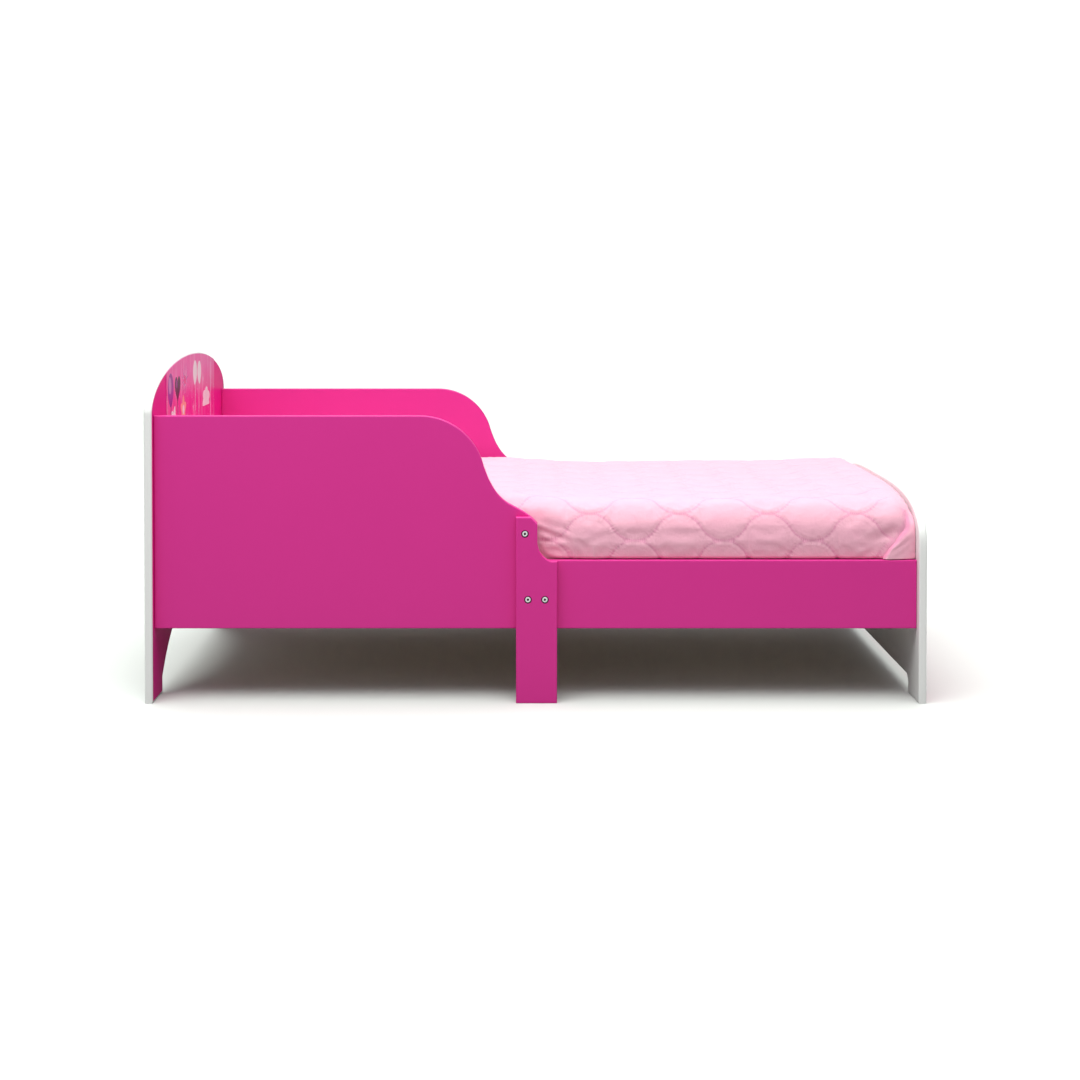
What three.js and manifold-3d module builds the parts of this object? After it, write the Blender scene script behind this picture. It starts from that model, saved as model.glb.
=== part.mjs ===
// Toddler bed: an arched headboard and footboard joined by guard panels and side rails, with a centre leg on
// each side, a slatted deck on cleats, and a loose mattress in a fitted cover.
// Millimetres. +X runs along the bed from the head to the foot, +Y across it, +Z up. The origin is on the
// floor under the middle of the bed.
import * as THREE from "three";
import { mergeVertices } from "three/addons/utils/BufferGeometryUtils.js";
import Module from "manifold-3d";

const wasm = await Module();
wasm.setup();

// Overall size
const LENGTH = 1360;
const WIDTH = 760;
const BOARD = 14; // thickness of every panel
const GAP = 0.3; // clearance between pieces that touch
const HALF_L = LENGTH / 2;
const HALF_W = WIDTH / 2;
const ARC_STEPS = 12; // straight steps in each curve of an outline

// Printed sheets on the head and foot boards
const PRINT = 0.7;
const PRINT_HALF_W = 250;
const PRINT_BOTTOM = 372;
const PRINT_EDGE = 3; // margin below the headboard's top edge

// Headboard outline (Y, Z)
const HEAD_SHOULDER = 503; // height where the sides turn into the top curve
const HEAD_RISE = 90; // rise of the top curve above the shoulder
const FOOT_WIDTH = 88; // width of each foot of the two end boards
const HEAD_ARCH_SPRING = 28; // height where the arch below starts to curve
const HEAD_ARCH_CROWN = 130;

// Footboard outline (Y, Z)
const FOOTBOARD_SHOULDER = 255; // height where the sides turn into the top curve
const FOOTBOARD_RISE = 105; // rise of the top curve above the shoulder
const FOOTBOARD_SQUARENESS = 3.5; // power of the top curve: 2 would be a half-ellipse
const FOOTBOARD_STEPS = 72; // straight steps that the top curve is made of
const FOOTBOARD_NOTCH = 30;
const FOOTBOARD_NOTCH_R = 15;

// Guard panels and side rails (X, Z)
const PANEL_INSET = 17; // from the end boards' edges to the panels' outer faces
const PANEL_BOTTOM = 128;
const GUARD_TOP = 500;
const RAIL_TOP = 247.5;
const PANEL_JOINT_X = 2.6; // foot end of the guard panel, under the centre leg
const GUARD_ARC_R = 115; // round shoulder of the guard panel's foot end
const GUARD_ARC_X = -203;
const GUARD_ARC_END = THREE.MathUtils.degToRad(16.5);
const GUARD_HEEL_Z = 312; // height of the guard panel's foot end
const S_MID = [-47, 346.5]; // where the S-curve turns from hollow to round

// Centre legs (X, Z)
const LEG_LEFT = -34.7;
const LEG_RIGHT = 36.8;
const LEG_TOP = 324.5;
const LEG_STEP = 280; // where the leg widens towards the rail

// Deck
const CLEAT_W = 22;
const CLEAT_H = 28;
const CLEAT_TOP = 190;
const CLEAT_CLEAR_X = 40; // the side cleats stop this far from the middle
const SLATS = 12;
const SLAT_W = 62;
const SLAT_T = 12;
const SLAT_SPAN_X = 1180; // between the first and last slats' centre lines
const BEAM_X = [-32, 34];
const BEAM_BOTTOM = 166;

// Mattress
const COVER_HALF_L = 664;
const COVER_HALF_W = 346;
const COVER_TOP = 352;
const COVER_WALL = 3.5;
const COVER_R = 34; // rounding of the top edges
const HEM = 60; // width of the hem turned in under the mattress
const CORE_GAP = 0.8;

// Fasteners
const BOLT_R = 3;
const BOLT_BORE_R = 3.4;
const HEAD_R = 4.7;
const HEAD_H = 3.6;
const SINK_R = 6; // counterbore
const SINK_DEPTH = 4.2;
const SOCKET_R = 1.7;
const SOCKET_DEPTH = 2.2;
const DOWEL_R = 5; // barrel nut
const DOWEL_L = 11;
const DOWEL_BORE_R = 5.3;
const DOWEL_AT = 34; // from the joint face to the barrel nut's axis
const SLEEVE_R = 4;
const SLEEVE_BORE_R = 4.4;
const SLEEVE_L = 10;
const FLANGE_R = 6.5;
const FLANGE_T = 1.6;
const FINE = 12; // sides of a small round piece

// Where the bolts of the centre leg go (X, Z)
const UPPER_BOLT = [-19.1, 295.7];
const BEAM_BOLTS = [
  [-13.9, 181],
  [15.6, 181],
];
const HEAD_BOLTS_Z = [150, 430];
const FOOT_BOLTS_Z = [150, 222];

// Places that follow from the sizes above
const HEAD_INNER = -HALF_L + BOARD;
const FOOT_OUTER = HALF_L - PRINT - GAP;
const FOOT_INNER = FOOT_OUTER - BOARD;
const PANEL_OUT = HALF_W - PANEL_INSET;
const PANEL_IN = PANEL_OUT - BOARD;
const PANEL_MID = PANEL_OUT - BOARD / 2;
const LEG_IN = PANEL_OUT + GAP;
const LEG_OUT = LEG_IN + BOARD;
const SLAT_BOTTOM = CLEAT_TOP + GAP;
const COVER_BOTTOM = SLAT_BOTTOM + SLAT_T + GAP;
const BEAM_END = PANEL_IN - GAP;

const SIDES = [
  ["near", -1],
  ["far", 1],
];

const finish = (color, roughness, metalness = 0) =>
  new THREE.MeshStandardMaterial({ color, roughness, metalness });
const PINK = finish(0xd23a8e, 0.45);
const WHITE = finish(0xeeeeee, 0.4);
const PRINTED = finish(0xf58fc4, 0.35);
const PINE = finish(0xdcc096, 0.7);
const STEEL = finish(0xc9c9cc, 0.3, 1);
const FOAM = finish(0xf4efe2, 0.9);
const CLOTH = finish(0xf7c3d6, 0.85);

const bed = new THREE.Group();

// Adds one named piece to the bed.
function add(name, geometry, material) {
  const mesh = new THREE.Mesh(geometry, material);
  mesh.name = name;
  bed.add(mesh);
  return mesh;
}

// A geometry as a manifold solid, with its shared vertices merged.
function solid(geometry) {
  const bare = geometry.clone();
  bare.deleteAttribute("normal");
  bare.deleteAttribute("uv");
  const merged = mergeVertices(bare, 1e-4);
  return new wasm.Manifold(
    new wasm.Mesh({
      numProp: 3,
      vertProperties: merged.attributes.position.array,
      triVerts: new Uint32Array(merged.index.array),
    }),
  );
}

// A manifold solid as a geometry again.
function geometryOf(shape) {
  const mesh = shape.getMesh();
  const geometry = new THREE.BufferGeometry();
  geometry.setAttribute("position", new THREE.BufferAttribute(mesh.vertProperties, 3));
  geometry.setIndex(new THREE.BufferAttribute(mesh.triVerts, 1));
  geometry.computeVertexNormals();
  return geometry;
}

// One geometry with others cut out of it.
function cut(base, tools) {
  const left = tools.reduce((shape, tool) => shape.subtract(solid(tool)), solid(base));
  return geometryOf(left);
}

// A box between two corners.
function block(low, high) {
  const size = high.map((value, i) => value - low[i]);
  const middle = high.map((value, i) => (value + low[i]) / 2);
  return new THREE.BoxGeometry(...size).translate(...middle);
}

// A cylinder from one end's centre to the other's, along X, Y or Z.
function rod(from, to, radius, sides = FINE) {
  const start = new THREE.Vector3(...from);
  const along = new THREE.Vector3(...to).sub(start);
  const turn = new THREE.Quaternion().setFromUnitVectors(
    new THREE.Vector3(0, 1, 0),
    along.clone().normalize(),
  );
  return new THREE.CylinderGeometry(radius, radius, along.length(), sides)
    .applyQuaternion(turn)
    .translate(...start.addScaledVector(along, 0.5).toArray());
}

// A flat outline drawn in (X, Z), as a board between two depths in Y.
function boardXZ(outline, yLow, yHigh) {
  const options = { depth: yHigh - yLow, bevelEnabled: false, curveSegments: ARC_STEPS };
  return new THREE.ExtrudeGeometry(outline, options).rotateX(Math.PI / 2).translate(0, yHigh, 0);
}

// A flat outline drawn in (Y, Z), as a board between two depths in X.
function boardYZ(outline, xLow, xHigh) {
  const options = { depth: xHigh - xLow, bevelEnabled: false, curveSegments: ARC_STEPS };
  return new THREE.ExtrudeGeometry(outline, options)
    .rotateX(Math.PI / 2)
    .rotateZ(Math.PI / 2)
    .translate(xLow, 0, 0);
}

// Headboard: two feet, an arch between them, straight sides and a half-ellipse on top.
function headboardOutline() {
  const outline = new THREE.Shape();
  const inner = HALF_W - FOOT_WIDTH;
  outline.moveTo(-HALF_W, 0);
  outline.lineTo(-inner, 0);
  outline.lineTo(-inner, HEAD_ARCH_SPRING);
  outline.bezierCurveTo(-inner + 36, 62, -190, HEAD_ARCH_CROWN, 0, HEAD_ARCH_CROWN);
  outline.bezierCurveTo(190, HEAD_ARCH_CROWN, inner - 36, 62, inner, HEAD_ARCH_SPRING);
  outline.lineTo(inner, 0);
  outline.lineTo(HALF_W, 0);
  outline.lineTo(HALF_W, HEAD_SHOULDER);
  outline.absellipse(0, HEAD_SHOULDER, HALF_W, HEAD_RISE, 0, Math.PI, false, 0);
  outline.closePath();
  return outline;
}

// Footboard: two feet, a shallow notch with round corners, and a low, nearly flat arch with rounded shoulders.
function footboardOutline() {
  const outline = new THREE.Shape();
  const inner = HALF_W - FOOT_WIDTH;
  const r = FOOTBOARD_NOTCH_R;
  outline.moveTo(-HALF_W, 0);
  outline.lineTo(-inner, 0);
  outline.lineTo(-inner, FOOTBOARD_NOTCH - r);
  outline.absarc(-inner + r, FOOTBOARD_NOTCH - r, r, Math.PI, Math.PI / 2, true);
  outline.lineTo(inner - r, FOOTBOARD_NOTCH);
  outline.absarc(inner - r, FOOTBOARD_NOTCH - r, r, Math.PI / 2, 0, true);
  outline.lineTo(inner, 0);
  outline.lineTo(HALF_W, 0);
  outline.lineTo(HALF_W, FOOTBOARD_SHOULDER);
  const power = 2 / FOOTBOARD_SQUARENESS;
  for (let step = 1; step < FOOTBOARD_STEPS; step += 1) {
    const turn = (Math.PI * step) / FOOTBOARD_STEPS;
    const across = Math.sign(Math.cos(turn)) * Math.abs(Math.cos(turn)) ** power;
    outline.lineTo(HALF_W * across, FOOTBOARD_SHOULDER + FOOTBOARD_RISE * Math.sin(turn) ** power);
  }
  outline.lineTo(-HALF_W, FOOTBOARD_SHOULDER);
  outline.closePath();
  return outline;
}

// Printed sheet of the headboard: straight sides, its top just under the board's top curve.
function headPrintOutline() {
  const outline = new THREE.Shape();
  const rise = HEAD_RISE - PRINT_EDGE;
  const angle = Math.acos(PRINT_HALF_W / HALF_W);
  outline.moveTo(-PRINT_HALF_W, PRINT_BOTTOM);
  outline.lineTo(PRINT_HALF_W, PRINT_BOTTOM);
  outline.absellipse(0, HEAD_SHOULDER, HALF_W, rise, angle, Math.PI - angle, false, 0);
  outline.closePath();
  return outline;
}

// Printed sheet of the footboard: a wide oval on its outer face.
function footPrintOutline() {
  const outline = new THREE.Shape();
  outline.absellipse(0, 190, 210, 105, 0, 2 * Math.PI, false, 0);
  return outline;
}

// Guard panel: straight top, a round shoulder, a hollow, then a last round stretch down to the heel.
function guardOutline() {
  const outline = new THREE.Shape();
  const left = HEAD_INNER + GAP;
  outline.moveTo(left, PANEL_BOTTOM);
  outline.lineTo(PANEL_JOINT_X, PANEL_BOTTOM);
  outline.lineTo(PANEL_JOINT_X, GUARD_HEEL_Z);
  outline.bezierCurveTo(-9.4, 328, -29.6, 336.7, ...S_MID);
  const endX = GUARD_ARC_X + GUARD_ARC_R * Math.cos(GUARD_ARC_END);
  const endZ = GUARD_TOP - GUARD_ARC_R + GUARD_ARC_R * Math.sin(GUARD_ARC_END);
  outline.bezierCurveTo(-71.4, 360.2, -84.7, 390.8, endX, endZ);
  outline.absarc(GUARD_ARC_X, GUARD_TOP - GUARD_ARC_R, GUARD_ARC_R, GUARD_ARC_END, Math.PI / 2);
  outline.lineTo(left, GUARD_TOP);
  outline.closePath();
  return outline;
}

// Centre leg: follows the guard panel's heel at the top, then widens towards the side rail.
function legOutline() {
  const outline = new THREE.Shape();
  outline.moveTo(LEG_LEFT, 0);
  outline.lineTo(LEG_RIGHT, 0);
  outline.lineTo(LEG_RIGHT, RAIL_TOP);
  outline.lineTo(27, RAIL_TOP);
  outline.bezierCurveTo(14, RAIL_TOP + 3, 3.6, 264, PANEL_JOINT_X, LEG_STEP);
  outline.lineTo(PANEL_JOINT_X, GUARD_HEEL_Z);
  outline.quadraticCurveTo(-2.6, 318.8, -9.6, LEG_TOP);
  outline.lineTo(LEG_LEFT, LEG_TOP);
  outline.closePath();
  return outline;
}

// The bores that one bolt, run along X, needs in an end board: a clearance hole and a counterbore.
function endBoardBores(y, z, outer, inner) {
  const inwards = Math.sign(inner - outer);
  const clear = rod([outer - inwards, y, z], [inner + inwards, y, z], BOLT_BORE_R);
  const sink = rod([outer - inwards, y, z], [outer + inwards * SINK_DEPTH, y, z], SINK_R);
  return [clear, sink];
}

// The bores that the same bolt needs in a panel's end: its own, and one for the barrel nut from inside.
function panelEndBores(side, faceX, z, inwards) {
  const dowelX = faceX + inwards * DOWEL_AT;
  const y = side * PANEL_MID;
  const bolt = rod([faceX - inwards, y, z], [dowelX + inwards * 12, y, z], BOLT_BORE_R);
  const deep = PANEL_MID + DOWEL_L / 2 + GAP;
  const dowel = rod([dowelX, side * (PANEL_IN - 1), z], [dowelX, side * deep, z], DOWEL_BORE_R);
  return [bolt, dowel];
}

// A bolt with a round head and a hexagonal socket. `out` points from the shank's end to the head.
function bolt(headBase, out, length) {
  const at = (d) => headBase.map((value, i) => value + out[i] * d);
  const shank = solid(rod(at(-length), at(HEAD_H / 2), BOLT_R));
  const head = solid(rod(at(0), at(HEAD_H), HEAD_R, 16));
  const socket = solid(rod(at(HEAD_H - SOCKET_DEPTH), at(HEAD_H + 1), SOCKET_R, 6));
  return geometryOf(shank.add(head).subtract(socket));
}

// A barrel nut: a plain cylinder with a cross hole that the bolt runs through.
function barrelNut(from, to, crossFrom, crossTo) {
  return cut(rod(from, to, DOWEL_R), [rod(crossFrom, crossTo, BOLT_BORE_R)]);
}

function makeEndBoards() {
  const headBores = [];
  const footBores = [];
  for (const [, side] of SIDES) {
    const y = side * PANEL_MID;
    for (const z of HEAD_BOLTS_Z) headBores.push(...endBoardBores(y, z, -HALF_L, HEAD_INNER));
    for (const z of FOOT_BOLTS_Z) footBores.push(...endBoardBores(y, z, FOOT_OUTER, FOOT_INNER));
  }
  add("headboard", cut(boardYZ(headboardOutline(), -HALF_L, HEAD_INNER), headBores), WHITE);
  add("footboard", cut(boardYZ(footboardOutline(), FOOT_INNER, FOOT_OUTER), footBores), WHITE);
  const headFace = HEAD_INNER + GAP;
  add("headboard_print", boardYZ(headPrintOutline(), headFace, headFace + PRINT), PRINTED);
  add("footboard_print", boardYZ(footPrintOutline(), HALF_L - PRINT, HALF_L), PRINTED);
}

function makeGuard(name, side) {
  const [yLow, yHigh] = [side * PANEL_OUT, side * PANEL_IN].sort((a, b) => a - b);
  const bores = HEAD_BOLTS_Z.flatMap((z) => panelEndBores(side, HEAD_INNER + GAP, z, 1));
  const [x, z] = UPPER_BOLT;
  const through = [side * (PANEL_IN - 1), side * (PANEL_OUT + 1)];
  bores.push(rod([x, through[0], z], [x, through[1], z], SLEEVE_BORE_R));
  const [beamX, beamZ] = BEAM_BOLTS[0];
  bores.push(rod([beamX, through[0], beamZ], [beamX, through[1], beamZ], BOLT_BORE_R));
  add(`guard_panel_${name}`, cut(boardXZ(guardOutline(), yLow, yHigh), bores), PINK);
}

function makeRail(name, side) {
  const [yLow, yHigh] = [side * PANEL_OUT, side * PANEL_IN].sort((a, b) => a - b);
  const end = FOOT_INNER - GAP;
  const bores = FOOT_BOLTS_Z.flatMap((z) => panelEndBores(side, end, z, -1));
  const [x, z] = BEAM_BOLTS[1];
  bores.push(rod([x, side * (PANEL_IN - 1), z], [x, side * (PANEL_OUT + 1), z], BOLT_BORE_R));
  const start = PANEL_JOINT_X + GAP;
  const rail = block([start, yLow, PANEL_BOTTOM], [end, yHigh, RAIL_TOP]);
  add(`side_rail_${name}`, cut(rail, bores), PINK);
}

function makeLeg(name, side) {
  const [yLow, yHigh] = [side * LEG_IN, side * LEG_OUT].sort((a, b) => a - b);
  const bores = [UPPER_BOLT, ...BEAM_BOLTS].flatMap(([x, z]) => [
    rod([x, side * (LEG_IN - 1), z], [x, side * (LEG_OUT + 1), z], BOLT_BORE_R),
    rod([x, side * (LEG_OUT - SINK_DEPTH), z], [x, side * (LEG_OUT + 1), z], SINK_R),
  ]);
  add(`centre_leg_${name}`, cut(boardXZ(legOutline(), yLow, yHigh), bores), PINK);
}

// Flat beam between the guard panels at the middle of the bed, bored for two bolts at each end.
function makeBeam() {
  const bores = [];
  for (const [, side] of SIDES) {
    for (const [x, z] of BEAM_BOLTS) {
      const deepest = side * (BEAM_END - DOWEL_AT - 12);
      const dowelY = side * (BEAM_END - DOWEL_AT);
      bores.push(rod([x, side * (BEAM_END + 1), z], [x, deepest, z], BOLT_BORE_R));
      bores.push(rod([x, dowelY, BEAM_BOTTOM - 1], [x, dowelY, z + DOWEL_L / 2 + GAP], DOWEL_BORE_R));
    }
  }
  const beam = block([BEAM_X[0], -BEAM_END, BEAM_BOTTOM], [BEAM_X[1], BEAM_END, CLEAT_TOP]);
  add("centre_beam", cut(beam, bores), PINE);
}

function makeLegFasteners(name, side) {
  const out = [0, side, 0];
  const headBase = side * (LEG_OUT - SINK_DEPTH + GAP);
  const [x, z] = UPPER_BOLT;
  const flangeFrom = side * (PANEL_IN - GAP);
  const shortBolt = Math.abs(headBase) - PANEL_IN - 1;
  add(`leg_bolt_${name}_upper`, bolt([x, headBase, z], out, shortBolt), STEEL);
  const flange = solid(rod([x, flangeFrom - side * FLANGE_T, z], [x, flangeFrom, z], FLANGE_R, 16));
  const sleeve = solid(rod([x, flangeFrom - side, z], [x, flangeFrom + side * SLEEVE_L, z], SLEEVE_R));
  const hole = solid(rod([x, flangeFrom, z], [x, flangeFrom + side * 20, z], BOLT_BORE_R));
  add(`sleeve_nut_${name}`, geometryOf(flange.add(sleeve).subtract(hole)), STEEL);
  BEAM_BOLTS.forEach(([bx, bz], i) => {
    const dowelY = side * (BEAM_END - DOWEL_AT);
    const length = Math.abs(headBase) - Math.abs(dowelY) + 8;
    add(`leg_bolt_${name}_${i + 1}`, bolt([bx, headBase, bz], out, length), STEEL);
    const ends = [bz - DOWEL_L / 2, bz + DOWEL_L / 2];
    const nut = barrelNut(
      [bx, dowelY, ends[0]],
      [bx, dowelY, ends[1]],
      [bx, dowelY - 8, bz],
      [bx, dowelY + 8, bz],
    );
    add(`beam_nut_${name}_${i + 1}`, nut, STEEL);
  });
}

// The bolts and barrel nuts that join one end board to the panels: `inwards` is +1 at the head.
function makeEndFasteners(end, outer, face, inwards, heights) {
  for (const [name, side] of SIDES) {
    const y = side * PANEL_MID;
    const headBase = outer + inwards * (SINK_DEPTH - GAP);
    const dowelX = face + inwards * DOWEL_AT;
    const length = Math.abs(dowelX - headBase) + 8;
    heights.forEach((z, i) => {
      add(`${end}_bolt_${name}_${i + 1}`, bolt([headBase, y, z], [-inwards, 0, 0], length), STEEL);
      const nut = barrelNut(
        [dowelX, y - DOWEL_L / 2, z],
        [dowelX, y + DOWEL_L / 2, z],
        [dowelX - 8, y, z],
        [dowelX + 8, y, z],
      );
      add(`${end}_nut_${name}_${i + 1}`, nut, STEEL);
    });
  }
}

function makeCleats() {
  const low = CLEAT_TOP - CLEAT_H;
  const outer = PANEL_IN - GAP;
  const headFace = HEAD_INNER + GAP;
  const footFace = FOOT_INNER - GAP;
  for (const [name, side] of SIDES) {
    const [yLow, yHigh] = [side * outer, side * (outer - CLEAT_W)].sort((a, b) => a - b);
    const guard = [headFace + CLEAT_W + GAP, -CLEAT_CLEAR_X];
    const rail = [CLEAT_CLEAR_X, footFace - CLEAT_W - GAP];
    add(`guard_cleat_${name}`, block([guard[0], yLow, low], [guard[1], yHigh, CLEAT_TOP]), PINE);
    add(`rail_cleat_${name}`, block([rail[0], yLow, low], [rail[1], yHigh, CLEAT_TOP]), PINE);
  }
  add("head_cleat", block([headFace, -outer, low], [headFace + CLEAT_W, outer, CLEAT_TOP]), PINE);
  add("foot_cleat", block([footFace - CLEAT_W, -outer, low], [footFace, outer, CLEAT_TOP]), PINE);
}

function makeSlats() {
  const outer = PANEL_IN - 1;
  for (let i = 0; i < SLATS; i++) {
    const x = -SLAT_SPAN_X / 2 + (i * SLAT_SPAN_X) / (SLATS - 1);
    const low = [x - SLAT_W / 2, -outer, SLAT_BOTTOM];
    const high = [x + SLAT_W / 2, outer, SLAT_BOTTOM + SLAT_T];
    add(`slat_${String(i + 1).padStart(2, "0")}`, block(low, high), PINE);
  }
}

// A block whose four top edges are rounded: two rounded sections, one along X and one along Y, crossed.
function cushion(halfL, halfW, bottom, top, r) {
  const section = (half) => {
    const outline = new THREE.Shape();
    outline.moveTo(-half, bottom);
    outline.lineTo(half, bottom);
    outline.lineTo(half, top - r);
    outline.absarc(half - r, top - r, r, 0, Math.PI / 2);
    outline.lineTo(r - half, top);
    outline.absarc(r - half, top - r, r, Math.PI / 2, Math.PI);
    outline.closePath();
    return outline;
  };
  const along = solid(boardXZ(section(halfL), -halfW, halfW));
  return along.intersect(solid(boardYZ(section(halfW), -halfL, halfL)));
}

function makeMattress() {
  const inset = COVER_WALL;
  const coreInset = COVER_WALL + CORE_GAP;
  const outer = cushion(COVER_HALF_L, COVER_HALF_W, COVER_BOTTOM, COVER_TOP, COVER_R);
  const cavity = cushion(
    COVER_HALF_L - inset,
    COVER_HALF_W - inset,
    COVER_BOTTOM + inset,
    COVER_TOP - inset,
    COVER_R - inset,
  );
  const mouth = block(
    [HEM - COVER_HALF_L, HEM - COVER_HALF_W, COVER_BOTTOM - 1],
    [COVER_HALF_L - HEM, COVER_HALF_W - HEM, COVER_BOTTOM + inset + 1],
  );
  add("mattress_cover", geometryOf(outer.subtract(cavity).subtract(solid(mouth))), CLOTH);
  const core = cushion(
    COVER_HALF_L - coreInset,
    COVER_HALF_W - coreInset,
    COVER_BOTTOM + coreInset,
    COVER_TOP - coreInset,
    COVER_R - coreInset,
  );
  add("mattress_core", geometryOf(core), FOAM);
}

makeEndBoards();
for (const [name, side] of SIDES) {
  makeGuard(name, side);
  makeRail(name, side);
  makeLeg(name, side);
  makeLegFasteners(name, side);
}
makeBeam();
makeCleats();
makeSlats();
makeEndFasteners("head", -HALF_L, HEAD_INNER + GAP, 1, HEAD_BOLTS_Z);
makeEndFasteners("foot", FOOT_OUTER, FOOT_INNER - GAP, -1, FOOT_BOLTS_Z);
makeMattress();

export default bed;
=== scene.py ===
"""A toddler bed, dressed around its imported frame.

The boards, bolts, timber deck, mattress and quilted cover are each a class that holds its sizes, builds its
meshes with numpy and dresses them. Metres throughout; +X runs from the head to the foot and +Z up.
"""

from __future__ import annotations

import logging
import math
from dataclasses import dataclass, field
from enum import Enum
from typing import Sequence

import bmesh
import bpy
import numpy as np
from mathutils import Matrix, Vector


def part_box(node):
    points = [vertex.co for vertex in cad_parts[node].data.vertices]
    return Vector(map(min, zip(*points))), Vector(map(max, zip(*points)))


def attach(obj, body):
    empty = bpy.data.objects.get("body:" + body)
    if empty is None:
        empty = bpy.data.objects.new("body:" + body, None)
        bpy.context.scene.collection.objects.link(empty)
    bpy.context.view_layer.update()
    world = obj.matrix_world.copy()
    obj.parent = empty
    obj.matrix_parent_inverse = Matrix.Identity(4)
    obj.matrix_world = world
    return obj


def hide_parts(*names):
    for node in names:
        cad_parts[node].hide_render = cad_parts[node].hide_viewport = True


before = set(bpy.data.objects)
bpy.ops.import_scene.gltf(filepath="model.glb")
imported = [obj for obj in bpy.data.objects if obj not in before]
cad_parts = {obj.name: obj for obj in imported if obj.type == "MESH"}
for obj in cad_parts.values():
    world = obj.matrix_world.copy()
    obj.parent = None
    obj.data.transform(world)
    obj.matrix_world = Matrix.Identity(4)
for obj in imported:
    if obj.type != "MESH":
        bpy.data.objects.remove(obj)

LOG = logging.getLogger("toddler_bed")
BODY_FRAME = "bed_frame"
BODY_MATTRESS = "mattress"
SMOOTH_ANGLE = math.radians(35)
Array = np.ndarray
Color = tuple[float, float, float]
Pair = tuple[float, float]
Thing = bpy.types.Object
Material = bpy.types.Material
Socket = bpy.types.NodeSocket


class Axis(Enum):
    """The axis that a board's thickness runs along; its value is that axis's index."""

    X = 0
    Y = 1


class Slot(Enum):
    """Material slots."""

    WHITE = "white_board"
    PINK = "pink_board"
    PRINT = "printed_sheet"
    PINE = "pine"
    STEEL = "bolt_steel"
    FOAM = "mattress_foam"
    CLOTH = "quilted_cloth"


# ---------------------------------------------------------------------------------------------------------
# Shader building
# ---------------------------------------------------------------------------------------------------------


class NodeBuilder:
    """Adds and links nodes in one node tree, for materials and for node groups."""

    def __init__(self, tree: bpy.types.NodeTree) -> None:
        """Args: tree: the node tree to build in."""
        self.tree = tree

    def add(self, kind: str, settings: dict | None = None, **inputs: object) -> bpy.types.Node:
        """Adds a node.

        Args:
            kind: the node's type name, without "ShaderNode" in front.
            settings: the node's own properties.
            inputs: values or output sockets for its inputs, by name with _ for a space, or by in0, in1.

        Returns:
            The new node.
        """
        node = self.tree.nodes.new(kind if kind.startswith("NodeGroup") else "ShaderNode" + kind)
        for key, value in (settings or {}).items():
            setattr(node, key, value)
        for key, value in inputs.items():
            numbered = key.startswith("in") and key[2:].isdigit()
            socket = node.inputs[int(key[2:])] if numbered else node.inputs[key.replace("_", " ")]
            self.feed(socket, value)
        return node

    def feed(self, socket: Socket, value: object) -> None:
        """Links an output socket to an input, or sets the input's own value."""
        if isinstance(value, Socket):
            self.tree.links.new(value, socket)
        elif socket.type == "RGBA" and len(value) == 3:
            socket.default_value = (*value, 1.0)
        else:
            socket.default_value = value

    def math(self, operation: str, a: object, b: object = 0.0, clamp: bool = False) -> Socket:
        """A Math node's result. Args: operation, its two inputs, and whether it is clamped to 0..1."""
        settings = {"operation": operation, "use_clamp": clamp}
        return self.add("Math", settings, in0=a, in1=b).outputs[0]

    def blend(self, a: object, b: object, c: object) -> Socket:
        """a times b plus c."""
        return self.add("Math", {"operation": "MULTIPLY_ADD"}, in0=a, in1=b, in2=c).outputs[0]

    def place(self) -> Socket:
        """The object's own coordinates."""
        return self.add("TexCoord").outputs["Object"]

    def parts(self, vector: object) -> bpy.types.bpy_prop_collection:
        """A vector's three parts."""
        return self.add("SeparateXYZ", None, Vector=vector).outputs

    def map(self, name: str) -> Socket:
        """A UV map's coordinates."""
        return self.add("UVMap", {"uv_map": name}).outputs[0]

    def mix(self, factor: object, a: object, b: object) -> Socket:
        """The colour between a and b at factor."""
        return self.add("Mix", {"data_type": "RGBA"}, in0=factor, in6=a, in7=b).outputs[2]

    def noise(self, vector: object, scale: float, detail: float = 3.0, rough: float = 0.5) -> Socket:
        """A noise texture's value, near 0.5. Args: its vector, scale, detail and roughness."""
        node = self.add("TexNoise", None, Vector=vector, Scale=scale, Detail=detail, Roughness=rough)
        return node.outputs["Fac"]

    def remap(self, value: object, low: float, high: float, to_low: float, to_high: float) -> Socket:
        """Value carried from low..high to to_low..to_high, clamped."""
        names = {"From_Min": low, "From_Max": high, "To_Min": to_low, "To_Max": to_high}
        return self.add("MapRange", None, Value=value, **names).outputs[0]


def make_group(name: str, inputs: dict[str, object], outputs: dict[str, str]) -> tuple[NodeBuilder, dict, dict]:
    """Starts a node group with named inputs and outputs.

    Args:
        name: the group's name.
        inputs: each input's name and its default, a number or a colour.
        outputs: each output's name and its kind, Float, Color or Vector.

    Returns:
        The builder, the input sockets by name, and the sockets that the outputs are fed to.
    """
    tree = bpy.data.node_groups.new(name, "ShaderNodeTree")
    for key, value in inputs.items():
        kind = "NodeSocketFloat" if isinstance(value, (int, float)) else "NodeSocketColor"
        socket = tree.interface.new_socket(key, in_out="INPUT", socket_type=kind)
        socket.default_value = value if kind == "NodeSocketFloat" else (*value, 1.0)
    for key, kind in outputs.items():
        tree.interface.new_socket(key, in_out="OUTPUT", socket_type="NodeSocket" + kind)
    builder = NodeBuilder(tree)
    start = builder.add("NodeGroupInput")
    end = builder.add("NodeGroupOutput")
    given = {key: start.outputs[key] for key in inputs}
    wanted = {key: end.inputs[key] for key in outputs}
    return builder, given, wanted


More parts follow.
